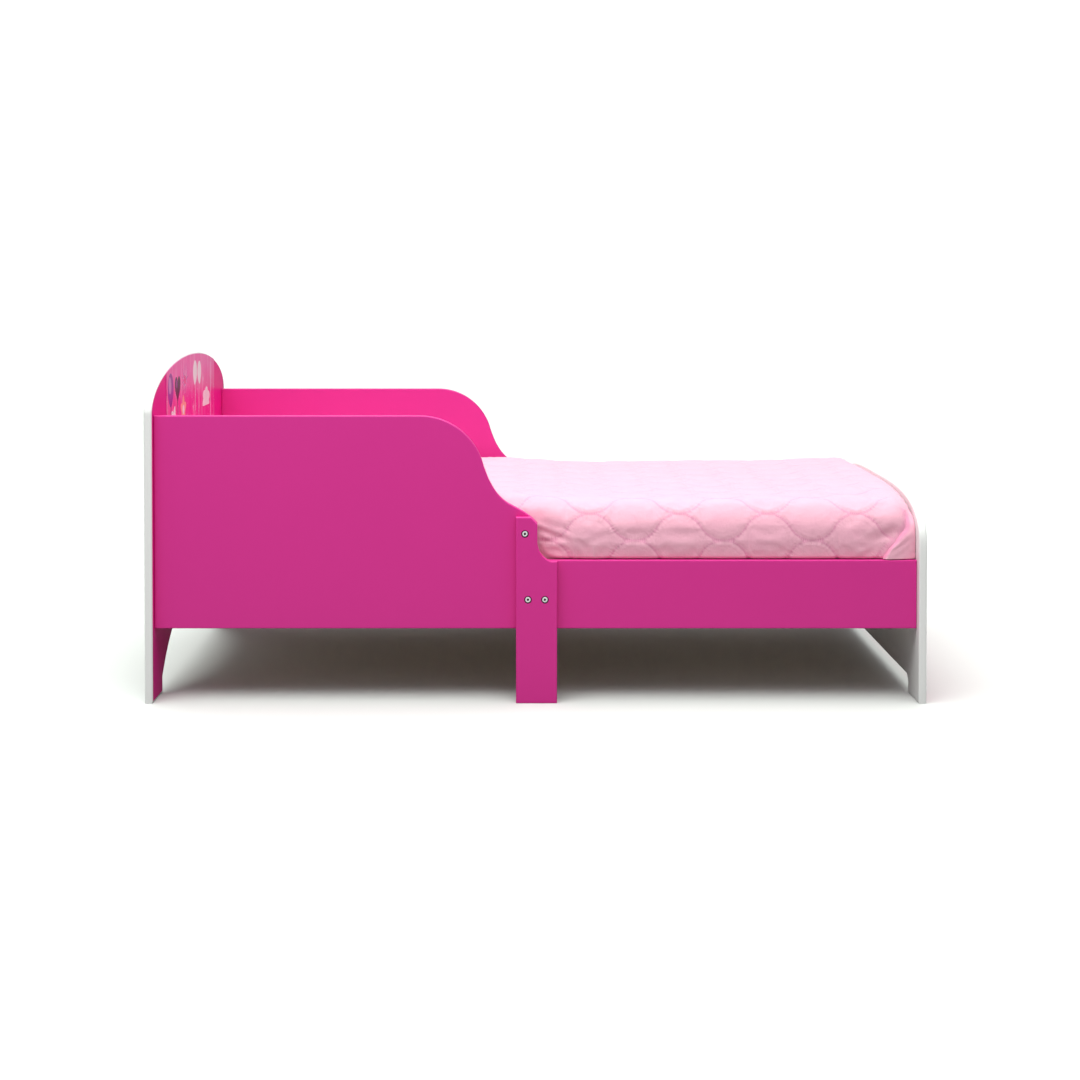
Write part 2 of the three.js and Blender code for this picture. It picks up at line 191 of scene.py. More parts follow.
class Effects:
    """Surface effects that several finishes share, each a node group made once."""

    def __init__(self) -> None:
        """Makes every group."""
        self.lacquer = self._lacquer()
        self.weave = self._weave()

    @staticmethod
    def _lacquer() -> bpy.types.NodeTree:
        """Sprayed lacquer on fibreboard: slow drifts of tone and gloss over a fine orange peel."""
        inputs = {"Base": (0.5, 0.5, 0.5), "Drift": 0.06, "Gloss": 0.4}
        outputs = {"Color": "Color", "Roughness": "Float", "Height": "Float"}
        build, given, wanted = make_group("Lacquer", inputs, outputs)
        place = build.place()
        drift = build.math("SUBTRACT", build.noise(place, 3.5, 2.0), 0.5)
        speck = build.math("SUBTRACT", build.noise(place, 260.0, 2.0), 0.5)
        amount = build.math("ADD", build.math("MULTIPLY", drift, given["Drift"]), 1.0)
        tone = build.math("ADD", build.math("MULTIPLY", speck, 0.02), amount)
        shade = build.add("VectorMath", {"operation": "SCALE"}, in0=given["Base"], in3=tone)
        build.feed(wanted["Color"], shade.outputs[0])
        gloss = build.blend(build.noise(place, 14.0, 4.0), 0.10, -0.05)
        build.feed(wanted["Roughness"], build.math("ADD", given["Gloss"], gloss, True))
        peel = build.noise(place, 420.0, 2.0, 0.6)
        build.feed(wanted["Height"], build.math("ADD", peel, build.math("MULTIPLY", speck, 0.3)))
        return build.tree

    @staticmethod
    def _weave() -> bpy.types.NodeTree:
        """Plain weave: two crossed sets of threads on the cloth's own coordinates, in metres."""
        inputs = {"Threads": 700.0, "Slub": 0.25}
        outputs = {"Height": "Float", "Shade": "Float"}
        build, given, wanted = make_group("Weave", inputs, outputs)
        cloth = build.map("cloth")
        wobble = build.noise(cloth, 60.0, 2.0)
        waves = []
        for part in build.parts(cloth)[:2]:
            turned = build.math("MULTIPLY", build.blend(wobble, 0.0008, part), given["Threads"])
            waves.append(build.math("SINE", build.math("MULTIPLY", turned, math.tau)))
        crossed = build.math("MULTIPLY", waves[0], waves[1])
        slub = build.math("MULTIPLY", build.noise(cloth, 240.0, 3.0), given["Slub"])
        build.feed(wanted["Height"], build.blend(crossed, 0.5, slub))
        build.feed(wanted["Shade"], build.math("MULTIPLY", crossed, 0.5))
        return build.tree


@dataclass(frozen=True)
class Finish:
    """A finish that is the same kind all over; its subclasses say how it is made."""

    name: str
    color: Color
    roughness: float = 0.45

    def start(self) -> tuple[NodeBuilder, Material, bpy.types.Node]:
        """Starts the material. Returns: the builder, the material and its Principled BSDF."""
        material = bpy.data.materials.new(self.name)
        material.use_nodes = True
        shader = material.node_tree.nodes["Principled BSDF"]
        shader.inputs["Base Color"].default_value = (*self.color, 1.0)
        shader.inputs["Roughness"].default_value = self.roughness
        material.diffuse_color = (*self.color, 1.0)
        return NodeBuilder(material.node_tree), material, shader

    @staticmethod
    def paint(build: NodeBuilder, shader: bpy.types.Node, color: object, rough: object) -> None:
        """Feeds the shader's colour and roughness."""
        build.feed(shader.inputs["Base Color"], color)
        build.feed(shader.inputs["Roughness"], rough)

    @staticmethod
    def bump(
        build: NodeBuilder, shader: bpy.types.Node, height: object, strength: float, reach: float
    ) -> None:
        """Feeds a height to the shader's normal. Args: strength 0..1 and the reach in metres."""
        node = build.add("Bump", None, Strength=strength, Distance=reach, Height=height)
        build.feed(shader.inputs["Normal"], node.outputs[0])

    def make(self, effects: Effects) -> Material:
        """Builds the material. Args: effects: the shared node groups."""
        raise NotImplementedError


@dataclass(frozen=True)
class Lacquer(Finish):
    """Satin lacquer, foil or printing ink on fibreboard."""

    drift: float = 0.05
    peel: float = 0.10
    shine: float = 0.35
    reach: float = 0.0003

    def make(self, effects: Effects) -> Material:
        """Builds the material from the shared lacquer group."""
        build, material, shader = self.start()
        group = build.add("Group", {"node_tree": effects.lacquer})
        build.feed(group.inputs["Base"], self.color)
        build.feed(group.inputs["Drift"], self.drift)
        build.feed(group.inputs["Gloss"], self.roughness)
        self.paint(build, shader, group.outputs["Color"], group.outputs["Roughness"])
        shader.inputs["Specular IOR Level"].default_value = self.shine
        self.bump(build, shader, group.outputs["Height"], self.peel, self.reach)
        return material


@dataclass(frozen=True)
class Pine(Finish):
    """Planed softwood: long growth rings along the timber, with the odd knot."""

    along: Axis = Axis.X
    dark: Color = (0.62, 0.42, 0.22)

    def make(self, effects: Effects) -> Material:
        """Builds the material: noise drawn out along the grain, and rings of distance from the pith."""
        build, material, shader = self.start()
        place = build.place()
        stretch = [18.0, 18.0, 18.0]
        stretch[self.along.value] = 1.2
        drawn = build.add("Mapping", None, Vector=place, Scale=stretch).outputs[0]
        bend = build.noise(drawn, 1.3, 3.0)
        rings = build.math("FRACT", build.math("MULTIPLY", bend, 9.0))
        late = build.remap(rings, 0.55, 1.0, 0.0, 1.0)
        fibre = build.noise(drawn, 26.0, 4.0, 0.7)
        knots = build.add("TexVoronoi", None, Vector=drawn, Scale=0.22).outputs["Distance"]
        knot = build.remap(knots, 0.02, 0.07, 1.0, 0.0)
        shade = build.math("ADD", build.math("MULTIPLY", late, 0.35), build.math("MULTIPLY", knot, 0.6), True)
        toned = build.mix(shade, self.color, self.dark)
        final = build.mix(build.remap(fibre, 0.3, 0.7, 0.0, 0.22), toned, self.dark)
        rough = build.remap(fibre, 0.3, 0.7, self.roughness - 0.08, self.roughness + 0.08)
        self.paint(build, shader, final, rough)
        self.bump(build, shader, build.math("ADD", fibre, late), 0.25, 0.0004)
        return material


@dataclass(frozen=True)
class Steel(Finish):
    """Zinc-plated steel with fine turning marks and a few dull specks."""

    metal: float = 1.0

    def make(self, effects: Effects) -> Material:
        """Builds the material."""
        build, material, shader = self.start()
        shader.inputs["Metallic"].default_value = self.metal
        place = build.place()
        blotch = build.noise(place, 700.0, 3.0)
        rough = build.remap(blotch, 0.3, 0.7, self.roughness - 0.1, self.roughness + 0.12)
        dull = tuple(0.8 * part for part in self.color)
        color = build.mix(build.remap(blotch, 0.5, 0.8, 0.0, 1.0), self.color, dull)
        self.paint(build, shader, color, rough)
        self.bump(build, shader, build.noise(place, 2600.0, 2.0), 0.15, 0.0001)
        return material


@dataclass(frozen=True)
class QuiltedCotton(Finish):
    """Brushed cotton over wadding: a fine weave, nap, and sewn seams with stitches and puckers, and painted
    shade in the seams' creases.
    """

    deep: Color = (0.80, 0.24, 0.46)
    threads: float = 900.0
    stitches: float = 260.0

    def make(self, effects: Effects) -> Material:
        """Builds the material.

        The "seam" map holds the length along the nearest seam and the distance to it, in metres. Near a seam
        the colour is drawn towards deep: painted shade in the seam's crease.
        """
        build, material, shader = self.start()
        place = build.place()
        along, away = build.parts(build.map("seam"))[:2]
        weave = build.add("Group", {"node_tree": effects.weave}, Threads=self.threads, Slub=0.5)
        mottle = build.noise(place, 38.0, 4.0, 0.6)
        tone = build.mix(build.remap(mottle, 0.35, 0.7, 0.0, 0.10), self.color, self.deep)
        # Painted shade: within 2.6 mm of a seam the cloth is drawn towards deep.
        dark = build.remap(away, 0.0, 0.0026, 0.62, 0.0)
        pitch = build.math("FRACT", build.math("MULTIPLY", along, self.stitches))
        stitch = build.remap(pitch, 0.62, 0.7, 1.0, 0.0)
        thread = build.math("MULTIPLY", stitch, build.remap(away, 0.0004, 0.0009, 1.0, 0.0))
        seam_shaded = build.mix(dark, tone, self.deep)
        color = build.mix(build.math("MULTIPLY", thread, 0.7), seam_shaded, self.color)
        rough = build.remap(mottle, 0.3, 0.7, self.roughness - 0.06, self.roughness + 0.06)
        self.paint(build, shader, color, rough)
        stretched = build.add(
            "CombineXYZ", None, X=build.math("MULTIPLY", along, 170.0), Y=build.math("MULTIPLY", away, 20.0)
        )
        pucker = build.noise(stretched.outputs[0], 1.0, 2.0)
        folds = build.math("MULTIPLY", pucker, build.remap(away, 0.001, 0.011, 1.0, 0.0))
        crumple = build.math("MULTIPLY", build.noise(place, 55.0, 4.0, 0.55), 0.55)
        coarse = build.add(
            "Bump", None, Strength=0.55, Distance=0.004, Height=build.blend(folds, 0.75, crumple)
        )
        nap = build.math("ADD", build.noise(place, 900.0, 2.0), thread)
        fine = build.blend(weave.outputs["Height"], 0.5, nap)
        top = build.add("Bump", None, Strength=0.35, Distance=0.0004, Height=fine, Normal=coarse.outputs[0])
        build.feed(shader.inputs["Normal"], top.outputs[0])
        shader.inputs["Sheen Weight"].default_value = 0.08
        shader.inputs["Sheen Roughness"].default_value = 0.5
        shader.inputs["Specular IOR Level"].default_value = 0.25
        return material


@dataclass(frozen=True)
class Ticking(Finish):
    """Close white ticking with a faint woven stripe."""

    stripe: Color = (0.55, 0.62, 0.72)

    def make(self, effects: Effects) -> Material:
        """Builds the material from the weave group and a stripe across the cloth."""
        build, material, shader = self.start()
        weave = build.add("Group", {"node_tree": effects.weave}, Threads=1100.0, Slub=0.3)
        across = build.math("FRACT", build.math("MULTIPLY", build.parts(build.map("cloth"))[1], 28.0))
        start, end = build.remap(across, 0.40, 0.43, 0.0, 0.35), build.remap(across, 0.57, 0.60, 1.0, 0.0)
        color = build.mix(build.math("MULTIPLY", start, end), self.color, self.stripe)
        self.paint(build, shader, color, build.remap(weave.outputs["Shade"], -0.5, 0.5, 0.8, 0.95))
        self.bump(build, shader, weave.outputs["Height"], 0.4, 0.0005)
        return material


@dataclass(frozen=True)
class Floor(Finish):
    """Pale seamless floor; it sends back less light than it shows, so that the boards keep their shading."""

    bounce: float = 0.30

    def make(self, effects: Effects) -> Material:
        """Builds the material, with a barely uneven roughness."""
        build, material, shader = self.start()
        seen = build.add("LightPath").outputs["Is Camera Ray"]
        rough = build.remap(build.noise(build.place(), 2.0), 0.3, 0.7, 0.75, 0.9)
        self.paint(build, shader, build.mix(seen, (self.bounce,) * 3, self.color), rough)
        shader.inputs["Specular IOR Level"].default_value = 0.1
        return material


PINK_LACQUER = Lacquer("pink_lacquer", (0.74, 0.030, 0.300), 0.42)
WHITE_LACQUER = Lacquer("white_lacquer", (0.89, 0.88, 0.88), 0.38, drift=0.02)
PINK_FACE = Lacquer("pink_face_foil", (0.82, 0.010, 0.290), 0.42, shine=0.15)
PINE_X = Pine("pine_lengthwise", (0.83, 0.66, 0.43), 0.62, Axis.X)
PINE_Y = Pine("pine_crosswise", (0.83, 0.66, 0.43), 0.62, Axis.Y)
# Lining of the bolt holes, darkened to near black: partly the raw core, partly painted shade in the
# counterbores.
RAW_BOARD_AND_SHADE = Lacquer("raw_fibreboard", (0.045, 0.016, 0.020), 0.9, drift=0.3, peel=0.5, shine=0.1)
# Near-white base with little metallic: painted reflection of a bright surround, which makes the plating look
# bright.
ZINC = Steel("zinc_plated_steel", (0.97, 0.95, 0.97), 0.36, 0.15)
# Near-black material for the inside of the hex sockets: painted shade in the recess.
SOCKET_SHADE = Steel("socket_recess", (0.02, 0.02, 0.024), 0.7, 0.2)
QUILTED_COTTON = QuiltedCotton("quilted_cotton", (0.93, 0.475, 0.60), 0.85)
TICKING = Ticking("ticking", (0.82, 0.81, 0.78), 0.9)
PALE_FLOOR = Floor("pale_floor", (0.74, 0.74, 0.74), 0.8)


class Wardrobe:
    """Every finish of the bed, made once when it is first asked for."""

    def __init__(self) -> None:
        """Starts with the shared effects and no material."""
        self.effects = Effects()
        self.made: dict[str, Material] = {}

    def get(self, finish: Finish) -> Material:
        """The material of a finish."""
        if finish.name not in self.made:
            self.made[finish.name] = finish.make(self.effects)
        return self.made[finish.name]


# ---------------------------------------------------------------------------------------------------------
# Mesh building
# ---------------------------------------------------------------------------------------------------------


def new_object(name: str, points: Array, faces: Sequence, materials: Sequence[Material]) -> Thing:
    """Makes a smooth-shaded mesh object at the origin.

    Args:
        name: the object's name.
        points: (n, 3) vertices in the row frame.
        faces: vertex indices of each face.
        materials: the object's material slots.

    Returns:
        The new object.
    """
    mesh = bpy.data.meshes.new(name)
    mesh.from_pydata(points.tolist(), [], faces)
    thing = bpy.data.objects.new(name, mesh)
    bpy.context.scene.collection.objects.link(thing)
    for material in materials:
        mesh.materials.append(material)
    mesh.polygons.foreach_set("use_smooth", np.ones(len(mesh.polygons), bool))
    return thing


def finish_mesh(thing: Thing, merge: float = 1e-6) -> Thing:
    """Merges points closer than merge, turns the faces outwards and marks the sharp edges."""
    work = bmesh.new()
    work.from_mesh(thing.data)
    bmesh.ops.remove_doubles(work, verts=work.verts, dist=merge)
    bmesh.ops.dissolve_degenerate(work, edges=work.edges, dist=merge)
    bmesh.ops.recalc_face_normals(work, faces=work.faces)
    work.to_mesh(thing.data)
    work.free()
    thing.data.set_sharp_from_angle(angle=SMOOTH_ANGLE)
    return thing


def carve(thing: Thing, cutters: Sequence[Thing]) -> Thing:
    """Cuts closed shapes out of a piece and keeps the result as its mesh. The cutters are removed."""
    for cutter in cutters:
        modifier = thing.modifiers.new("cut", "BOOLEAN")
        modifier.operation = "DIFFERENCE"
        modifier.solver = "EXACT"
        modifier.material_mode = "TRANSFER" if cutter.data.materials else "INDEX"
        modifier.object = cutter
    graph = bpy.context.evaluated_depsgraph_get()
    result = bpy.data.meshes.new_from_object(thing.evaluated_get(graph))
    thing.modifiers.clear()
    thing.data = result
    for cutter in cutters:
        bpy.data.objects.remove(cutter)
    thing.data.set_sharp_from_angle(angle=SMOOTH_ANGLE)
    return thing


def place_profile(outline: Array, depth: Array, axis: Axis) -> Array:
    """Puts outline points (a, z) and depths into space: a is Y on an X board and X on a Y board."""
    first, second = outline[..., 0], outline[..., 1]
    parts = (depth, first, second) if axis is Axis.X else (first, depth, second)
    return np.stack(parts, axis=-1)


def miters(outline: Array) -> Array:
    """Outward miter of each point of a closed outline that runs anticlockwise.

    Each edge's normal is its direction turned a quarter clockwise. A point's miter is the sum of its two
    edges' normals over one plus their dot product, so an offset along it keeps every edge parallel.
    """
    edge = np.roll(outline, -1, axis=0) - outline
    normal = np.stack((edge[:, 1], -edge[:, 0]), axis=1) / np.linalg.norm(edge, axis=1, keepdims=True)
    before = np.roll(normal, 1, axis=0)
    share = 1.0 + np.sum(normal * before, axis=1, keepdims=True)
    return (normal + before) / np.maximum(share, 0.2)


def rounded_board(
    name: str,
    outline: Array,
    span: Pair,
    axis: Axis,
    rounding: float,
    materials: Sequence[Material],
    faced: Sequence[int] = (0, 0),
) -> Thing:
    """A flat board whose two rims are rounded.

    The rim's section is two quarter circles: at angle t the outline is moved in by r(1 - sin t) and the
    depth is r(1 - cos t) from the face. One more loop, a little further in, keeps each face flat.

    Args:
        name: the object's name.
        outline: (n, 2) closed outline, anticlockwise, without its first point again at the end.
        span: the lowest and highest coordinate through the thickness.
        axis: the axis that the thickness runs along.
        rounding: radius of the rims.
        materials: material slots; 0 is the edge's.
        faced: the slots of the low face and the high face.

    Returns:
        The board.
    """
    turn = np.linspace(0.0, math.pi / 2, 6)
    inset = np.concatenate(([rounding * 1.6], rounding * (1.0 - np.sin(turn))))
    rise = np.concatenate(([0.0], rounding * (1.0 - np.cos(turn))))
    low, high = span
    insets = np.concatenate((inset, inset[::-1]))
    depths = np.concatenate((low + rise, (high - rise)[::-1]))
    normal = miters(outline)
    rings = outline[None] - normal[None] * insets[:, None, None]
    depth = np.broadcast_to(depths[:, None], rings.shape[:2])
    points = place_profile(rings, depth, axis).reshape(-1, 3)
    rows, count = rings.shape[:2]
    faces = grid_faces(rows, count, wrap=True).tolist()
    caps = [list(range(count))[::-1], list(range((rows - 1) * count, rows * count))]
    board = new_object(name, points, faces + caps, materials)
    marks = np.zeros(len(faces) + 2, np.int32)
    marks[:count] = faced[0]
    marks[-count - 2 : -2] = faced[1]
    marks[-2:] = faced
    board.data.polygons.foreach_set("material_index", marks)
    return finish_mesh(board)


def grid_faces(rows: int, columns: int, wrap: bool = False) -> Array:
    """Quads of a rows by columns grid of points, joined round its columns when wrap is set."""
    across = columns if wrap else columns - 1
    row, column = np.meshgrid(np.arange(rows - 1), np.arange(across), indexing="ij")
    after = (column + 1) % columns
    here, above = row * columns, (row + 1) * columns
    return np.stack((here + column, here + after, above + after, above + column), axis=-1).reshape(-1, 4)


def revolve(name: str, rings: Array, centre: Array, out: Array, materials: Sequence[Material]) -> Thing:
    """A closed shape turned about an axis.

    Args:
        name: the object's name.
        rings: (rows, columns, 2) radius and height of each point; the first and last rows have radius 0.
        centre: the point on the axis at height 0.
        out: the axis's direction.
        materials: material slots.

    Returns:
        The shape. A point is centre + height * out + radius * (cos t * u + sin t * v), u and v square to out.
    """
    rows, columns = rings.shape[:2]
    turn = np.arange(columns) * math.tau / columns
    helper = np.array([0.0, 0.0, 1.0]) if abs(out[2]) < 0.5 else np.array([1.0, 0.0, 0.0])
    u = np.cross(out, helper)
    v = np.cross(out, u)
    radial = np.cos(turn)[:, None] * u + np.sin(turn)[:, None] * v
    points = centre + rings[..., 1, None] * out + rings[..., 0, None] * radial
    thing = new_object(name, points.reshape(-1, 3), grid_faces(rows, columns, wrap=True).tolist(), materials)
    return finish_mesh(thing, merge=1e-7)


def stack_rings(rows: Sequence[tuple[Array, float]], columns: int) -> Array:
    """Rings for revolve from each row's radii and its height."""
    return np.stack([np.column_stack((radius, np.full(columns, height))) for radius, height in rows])


def bore_cutter(
    mouth: Array,
    out: Array,
    sink: float,
    sink_depth: float,
    bore: float,
    through: float,
    lining: Sequence[Material] = (),
) -> Thing:
    """A cutter for a counterbored hole whose mouth has a small chamfer.

    Args:
        mouth: the hole's centre on the face.
        out: the direction out of the hole.
        sink: the counterbore's radius.
        sink_depth: its depth.
        bore: radius of the hole below it.
        through: the hole's whole depth.
        lining: the finish that the cut surface takes, the board's own when there is none.

    Returns:
        The closed cutter.
    """
    chamfer, above, columns = 0.0006, 0.004, 40
    profile = [(0.0, above), (sink + chamfer + above, above), (sink, -chamfer), (sink, -sink_depth)]
    profile += [(bore, -sink_depth), (bore, -through), (0.0, -through)]
    rings = np.repeat(np.array(profile)[:, None, :], columns, axis=1)
    return revolve("cutter", rings, mouth, out, lining)


class Outline:
    """Collects a closed outline from straight lines, arcs and Bezier curves."""

    def __init__(self, steps: int = 40) -> None:
        """Args: steps: the straight steps of each curve."""
        self.steps = steps
        self.points: list[Array] = []

    def to(self, *corners: Pair) -> "Outline":
        """Straight lines on to each corner."""
        self.points.append(np.array(corners, float))
        return self

    def arc(self, centre: Pair, radii: Pair, start: float, end: float) -> "Outline":
        """A stretch of an ellipse. Args: centre, its two radii, and the start and end in degrees."""
        turn = np.radians(np.linspace(start, end, self.steps + 1))
        self.points.append(np.column_stack((np.cos(turn), np.sin(turn))) * radii + centre)
        return self

    def bezier(self, *control: Pair) -> "Outline":
        """A cubic Bezier from the last point. Args: its two control points and its end."""
        start = self.points[-1][-1]
        t = np.linspace(0.0, 1.0, self.steps + 1)[1:, None]
        p = [start, *(np.array(c, float) for c in control)]
        share = ((1 - t) ** 3, 3 * (1 - t) ** 2 * t, 3 * (1 - t) * t**2, t**3)
        self.points.append(sum(part * point for part, point in zip(share, p)))
        return self

    def closed(self, mirrored: bool = False) -> Array:
        """The outline's points, anticlockwise, with repeated points left out.

        Args:
            mirrored: the points so far are the right half, from the middle's foot to the middle's top.
        """
        points = np.concatenate(self.points)
        if mirrored:
            points = np.concatenate((points, points[::-1] * (-1.0, 1.0)))
        step = np.linalg.norm(points - np.roll(points, 1, axis=0), axis=1)
        points = points[step > 1e-6]
        after = np.roll(points, -1, axis=0)
        area = np.sum(points[:, 0] * after[:, 1] - after[:, 0] * points[:, 1])
        return points if area > 0 else points[::-1]


def oblong(low: Sequence[float], high: Sequence[float], across: int = 0) -> Array:
    """A box's side as an outline. Args: its corners and the index of the axis across."""
    a = across
    corners = ((low[a], low[2]), (high[a], low[2]), (high[a], high[2]), (low[a], high[2]))
    return Outline().to(*corners).closed()


def smooth(value: Array, start: float, end: float) -> Array:
    """0 at start and 1 at end, with a soft S between them: 3t^2 - 2t^3."""
    t = np.clip((value - start) / (end - start), 0.0, 1.0)
    return t * t * (3.0 - 2.0 * t)


def bell(value: Array, middle: Array | float, width: float) -> Array:
    """A bell curve, 1 at its middle."""
    return np.exp(-(((value - middle) / width) ** 2))


def add_uv(thing: Thing, name: str, places: Array) -> None:
    """Gives a mesh a UV map from one pair of numbers for each vertex."""
    mesh = thing.data
    layer = mesh.uv_layers.new(name=name)
    corner = np.empty(len(mesh.loops), np.int32)
    mesh.loops.foreach_get("vertex_index", corner)
    layer.uv.foreach_set("vector", places[corner].astype(np.float32).ravel())


def span_of(node: str, axis: Axis) -> Pair:
    """The lowest and highest coordinate of a node along an axis."""
    low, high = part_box(node)
    return low[axis.value], high[axis.value]


def register(piece: Thing, body: str, slot: Slot, *nodes: str) -> Thing:
    """Puts a piece on the body it rides on and hides the nodes that it stands for."""
    if nodes:
        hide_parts(*nodes)
    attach(piece, body)
    LOG.info("%s: %d faces, rides on %s", piece.name, len(piece.data.polygons), body)
    return piece


# ---------------------------------------------------------------------------------------------------------
# The bed
# ---------------------------------------------------------------------------------------------------------


@dataclass
class BoltHoles:
    """Counterbored bolt holes: their sizes, which match the bolts' heads and shanks."""

    sink: float = 0.0059
    sink_depth: float = 0.0042
    bore: float = 0.0034
    through: float = 0.030

    def drill(
        self, board: Thing, bolts: Sequence[str], span: Pair, axis: Axis, out: float, core: Material
    ) -> None:
        """Drills the holes of some bolts into a board.

        Args:
            board: the board.
            bolts: the bolts' nodes, which give the places.
            span: the board's lowest and highest coordinate along the bolts.
            axis: the axis that the bolts run along.
            out: +1 or -1, the way the heads look along it.
            core: the finish of the board's raw inside, darkened to near black as painted shade in the hole.
        """
        direction = np.zeros(3)
        direction[axis.value] = out
        sizes = (self.sink, self.sink_depth, self.bore, self.through)
        cutters = []
        for bolt in bolts:
            mouth = middle_of(bolt)
            mouth[axis.value] = span[1] if out > 0 else span[0]
            cutters.append(bore_cutter(mouth, direction, *sizes, lining=(core,)))
        carve(board, cutters)


def middle_of(node: str) -> Array:
    """The middle of a node's box."""
    low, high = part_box(node)
    return (np.array(low) + np.array(high)) / 2


def nodes_named(*starts: str) -> list[str]:
    """The CAD nodes whose names start with one of these, in order."""
    return sorted(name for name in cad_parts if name.startswith(starts))


@dataclass
class EndBoards:
    """The arched headboard and footboard, white with rounded edges and a pink face each."""

    rounding: float = 0.0034
    head_shoulder: float = 0.503
    foot_width: float = 0.088
    arch_spring: float = 0.028
    arch_crown: float = 0.130
    foot_shoulder: float = 0.255
    foot_squareness: float = 3.5
    notch: float = 0.030
    notch_radius: float = 0.015
    holes: BoltHoles = field(default_factory=BoltHoles)

    def head_outline(self) -> Array:
        """Headboard outline in (Y, Z): feet, the arch between them, straight sides, a half-ellipse on top."""
        _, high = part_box("headboard")
        half, apex = high[1], high[2]
        inner = half - self.foot_width
        crown, shoulder = self.arch_crown, self.head_shoulder
        right = Outline(60).to((0.0, crown))
        right.bezier((0.19, crown), (inner - 0.036, 0.062), (inner, self.arch_spring))
        right.to((inner, 0.0), (half, 0.0), (half, shoulder))
        return right.arc((0.0, shoulder), (half, apex - shoulder), 0.0, 90.0).closed(mirrored=True)

    def foot_outline(self) -> Array:
        """Footboard outline in (Y, Z): feet, a shallow notch, and a low arch.

        The arch is a superellipse, |y / half|^n + |(z - shoulder) / rise|^n = 1.
        """
        _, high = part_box("footboard")
        half, apex = high[1], high[2]
        inner = half - self.foot_width
        r, z = self.notch_radius, self.foot_shoulder
        right = Outline(30).to((0.0, self.notch)).arc((inner - r, self.notch - r), (r, r), 90.0, 0.0)
        right.to((inner, 0.0), (half, 0.0), (half, z))
        turn = np.linspace(0.0, math.pi / 2, 49)[1:]
        across, up = (np.maximum(wave(turn), 0.0) ** (2.0 / self.foot_squareness) for wave in (np.cos, np.sin))
        right.to(*zip(half * across, z + (apex - z) * up))
        return right.closed(mirrored=True)

    def build(self, wardrobe: Wardrobe) -> None:
        """Makes both boards with their bolt holes."""
        white = wardrobe.get(WHITE_LACQUER)
        pink = wardrobe.get(PINK_FACE)
        for node, outline, out, bolts in (
            ("headboard", self.head_outline(), -1.0, "head_bolt"),
            ("footboard", self.foot_outline(), 1.0, "foot_bolt"),
        ):
            span = span_of(node, Axis.X)
            name = f"{node}_panel"
            board = rounded_board(name, outline, span, Axis.X, self.rounding, (white, pink), (0, 1))
            self.holes.drill(board, nodes_named(bolts), span, Axis.X, out, wardrobe.get(RAW_BOARD_AND_SHADE))
            register(board, BODY_FRAME, Slot.WHITE, node)


@dataclass
class SideBoards:
    """Guard panels with an S-curved foot end, side rails, and the centre legs over their joint."""

    rounding: float = 0.0018
    shoulder_radius: float = 0.115
    shoulder_x: float = -0.203
    shoulder_end: float = 16.5
    heel: float = 0.312
    step: float = 0.280
    holes: BoltHoles = field(default_factory=BoltHoles)

    def guard_outline(self, node: str) -> Array:
        """Guard outline in (X, Z): a straight top, a round shoulder, a hollow and a last round stretch."""
        low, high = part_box(node)
        r = self.shoulder_radius
        centre = (self.shoulder_x, high[2] - r)
        line = Outline(48).to((low[0], low[2]), (high[0], low[2]), (high[0], self.heel))
        line.bezier((-0.0094, 0.328), (-0.0296, 0.3367), (-0.047, 0.3465))
        end = math.radians(self.shoulder_end)
        meet = (centre[0] + r * math.cos(end), centre[1] + r * math.sin(end))
        line.bezier((-0.0714, 0.3602), (-0.0847, 0.3908), meet)
        line.arc(centre, (r, r), self.shoulder_end, 90.0).to((low[0], high[2]))
        return line.closed()

    def leg_outline(self, node: str) -> Array:
        """Leg outline in (X, Z): its top follows the guard's heel, and it widens to meet the rail's top."""
        low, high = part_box(node)
        heel_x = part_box("guard_panel_near")[1][0]
        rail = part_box("side_rail_near")[1][2]
        line = Outline(24).to((low[0], 0.0), (high[0], 0.0), (high[0], rail), (0.027, rail))
        line.bezier((0.014, rail + 0.003), (0.0036, 0.264), (heel_x, self.step)).to((heel_x, self.heel))
        line.bezier((-0.0009, 0.3165), (-0.0049, 0.3207), (-0.0096, high[2])).to((low[0], high[2]))
        return line.closed()

    @staticmethod
    def rail_outline(node: str) -> Array:
        """Rail outline in (X, Z), a plain oblong."""
        return oblong(*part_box(node))

    def build(self, wardrobe: Wardrobe) -> None:
        """Makes the three boards of each side."""
        pink = (wardrobe.get(PINK_LACQUER),)
        for side, out in (("near", -1.0), ("far", 1.0)):
            for kind, outline_of in (
                ("guard_panel", self.guard_outline),
                ("side_rail", self.rail_outline),
                ("centre_leg", self.leg_outline),
            ):
                node = f"{kind}_{side}"
                span = span_of(node, Axis.Y)
                board = rounded_board(f"{node}_board", outline_of(node), span, Axis.Y, self.rounding, pink)
                if kind == "centre_leg":
                    bolts = nodes_named(f"leg_bolt_{side}")
                    self.holes.drill(board, bolts, span, Axis.Y, out, wardrobe.get(RAW_BOARD_AND_SHADE))
                register(board, BODY_FRAME, Slot.PINK, node)


class Shape(Enum):
    """Kinds of printed motif."""

    OVAL = "oval"
    BALLOON = "balloon"
    HEART = "heart"
    FLOWER = "flower"
    BURST = "burst"
    CLOUD = "cloud"
    BAR = "bar"


